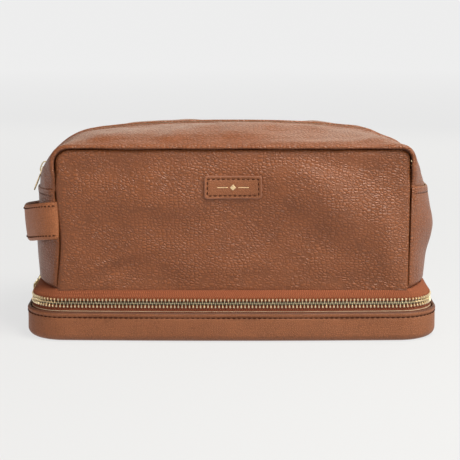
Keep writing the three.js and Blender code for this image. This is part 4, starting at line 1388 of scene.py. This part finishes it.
# ---- linings and boards -------------------------------------------------------------------
def build_inside():
    low, high = node_box("main_lining")
    loop = rounded_loop(high[0], high[1], 14)
    tub = lining_profile(1.0, high[2] - low[2], 6.0)
    lining = pan("main_lining_cloth", loop, [(i, s, h + low[2]) for i, s, h in tub], level, [LINING],
                 rumple(1.2, 26, 8, 24))
    ride(lining, "main_bag", "lining_cloth", "main_lining")
    for node in ("base_board", "floor_board"):
        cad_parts[node].data.materials.clear()
        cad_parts[node].data.materials.append(BOARD)


build_base()
build_panels()
build_top()
build_sides()
build_handle()
build_patch()
build_sliders()
build_inside()


# ---- the studio ---------------------------------------------------------------------------
FLOOR_GLOW = (0.785, 0.925)  # beside the bag, and far from it
FLOOR_FADE = 3.0  # metres
FLOOR_HALF = 30000
PAPER_SHARE = 0.12  # of the floor's tone that the lamps and shadows give
# Lamps as (name, place, aim, size, power, colour), in metres and watts.
LAMPS = (
    ("key", (0.42, -0.42, 1.05), (0.03, 0, 0.08), (0.55, 0.55), 17.5, (1.0, 0.98, 0.90)),
    ("sheen", (0.5, -1.2, 0.48), (0.05, 0, 0.1), (0.4, 0.4), 4.5, (1.0, 0.97, 0.88)),
    ("rear", (0.25, 1.2, 0.55), (0, 0, 0.12), (1.6, 0.5), 4.5, (1.0, 0.98, 0.84)),
    ("side", (1.1, -0.35, 0.5), (0, 0, 0.08), (0.6, 0.6), 7, (1.0, 0.97, 0.86)),
    ("fill", (-0.9, -0.7, 0.35), (0, 0, 0.07), (0.6, 0.6), 2.6, (1.0, 0.74, 0.52)),
)


def studio_floor():
    """A pale sheet whose own glow evens out the lamps' fall-off, so it reads as one flat tone."""
    m = Nodes("studio_floor")
    m.tree.nodes.remove(m.shader)
    speck = m.noise(m.place(), 6, 3.0)
    paper = m.add("ShaderNodeBsdfDiffuse", Color=(0.83, 0.83, 0.83, 1))
    m.set(paper, "Normal", m.bump(speck, 0.05 * MM))
    length = m.add("ShaderNodeVectorMath", {"operation": "LENGTH"})
    m.set(length, 0, m.coordinates.outputs["Object"])
    far = m.ramp(m.math("DIVIDE", length.outputs["Value"], FLOOR_FADE), *FLOOR_GLOW, (0.1, 1.0))
    glow = m.add("ShaderNodeEmission", Color=far, Strength=1.0)
    both = m.add("ShaderNodeMixShader")
    for i, value in enumerate((PAPER_SHARE, glow.outputs[0], paper.outputs[0])):
        m.set(both, i, value)
    m.set(m.tree.nodes["Material Output"], "Surface", both.outputs[0])
    corners = [(x * FLOOR_HALF, y * FLOOR_HALF, 0) for x, y in ((-1, -1), (1, -1), (1, 1), (-1, 1))]
    floor = make_object("studio_floor", corners, [(0, 1, 2, 3)], [m.material])


def soft_light(name, place, aim, size, power, color):
    light = bpy.data.lights.new(name, "AREA")
    light.shape = "RECTANGLE"
    light.size, light.size_y = size
    light.energy = power
    light.color = color
    obj = bpy.data.objects.new(name, light)
    obj.location = place
    obj.rotation_euler = (Vector(aim) - Vector(place)).to_track_quat("-Z", "Y").to_euler()
    bpy.context.scene.collection.objects.link(obj)


def build_studio():
    scene = bpy.context.scene
    scene.view_settings.view_transform = "Standard"
    scene.view_settings.look = "None"
    world = bpy.data.worlds.new("studio")
    world.use_nodes = True
    tree = world.node_tree
    direction = tree.nodes.new("ShaderNodeTexCoord")
    parts = tree.nodes.new("ShaderNodeSeparateXYZ")
    tree.links.new(direction.outputs["Generated"], parts.inputs[0])
    sky = tree.nodes.new("ShaderNodeValToRGB")
    sky.color_ramp.elements[0].color = (0.10, 0.09, 0.08, 1)
    sky.color_ramp.elements[1].color = (0.50, 0.50, 0.50, 1)
    tree.links.new(parts.outputs["Z"], sky.inputs["Fac"])
    tree.links.new(sky.outputs["Color"], tree.nodes["Background"].inputs["Color"])
    scene.world = world
    studio_floor()
    for lamp in LAMPS:
        soft_light(*lamp)

    camera = bpy.data.cameras.new("camera")
    camera.lens = 109.5
    camera.sensor_width = 36
    obj = bpy.data.objects.new("camera", camera)
    aim = Vector((-0.001, 0, 0.0651))
    elevation = math.radians(10)
    obj.location = aim + Vector((0, -math.cos(elevation), math.sin(elevation)))
    obj.rotation_euler = (aim - obj.location).to_track_quat("-Z", "Y").to_euler()
    scene.collection.objects.link(obj)
    scene.camera = obj


build_studio()
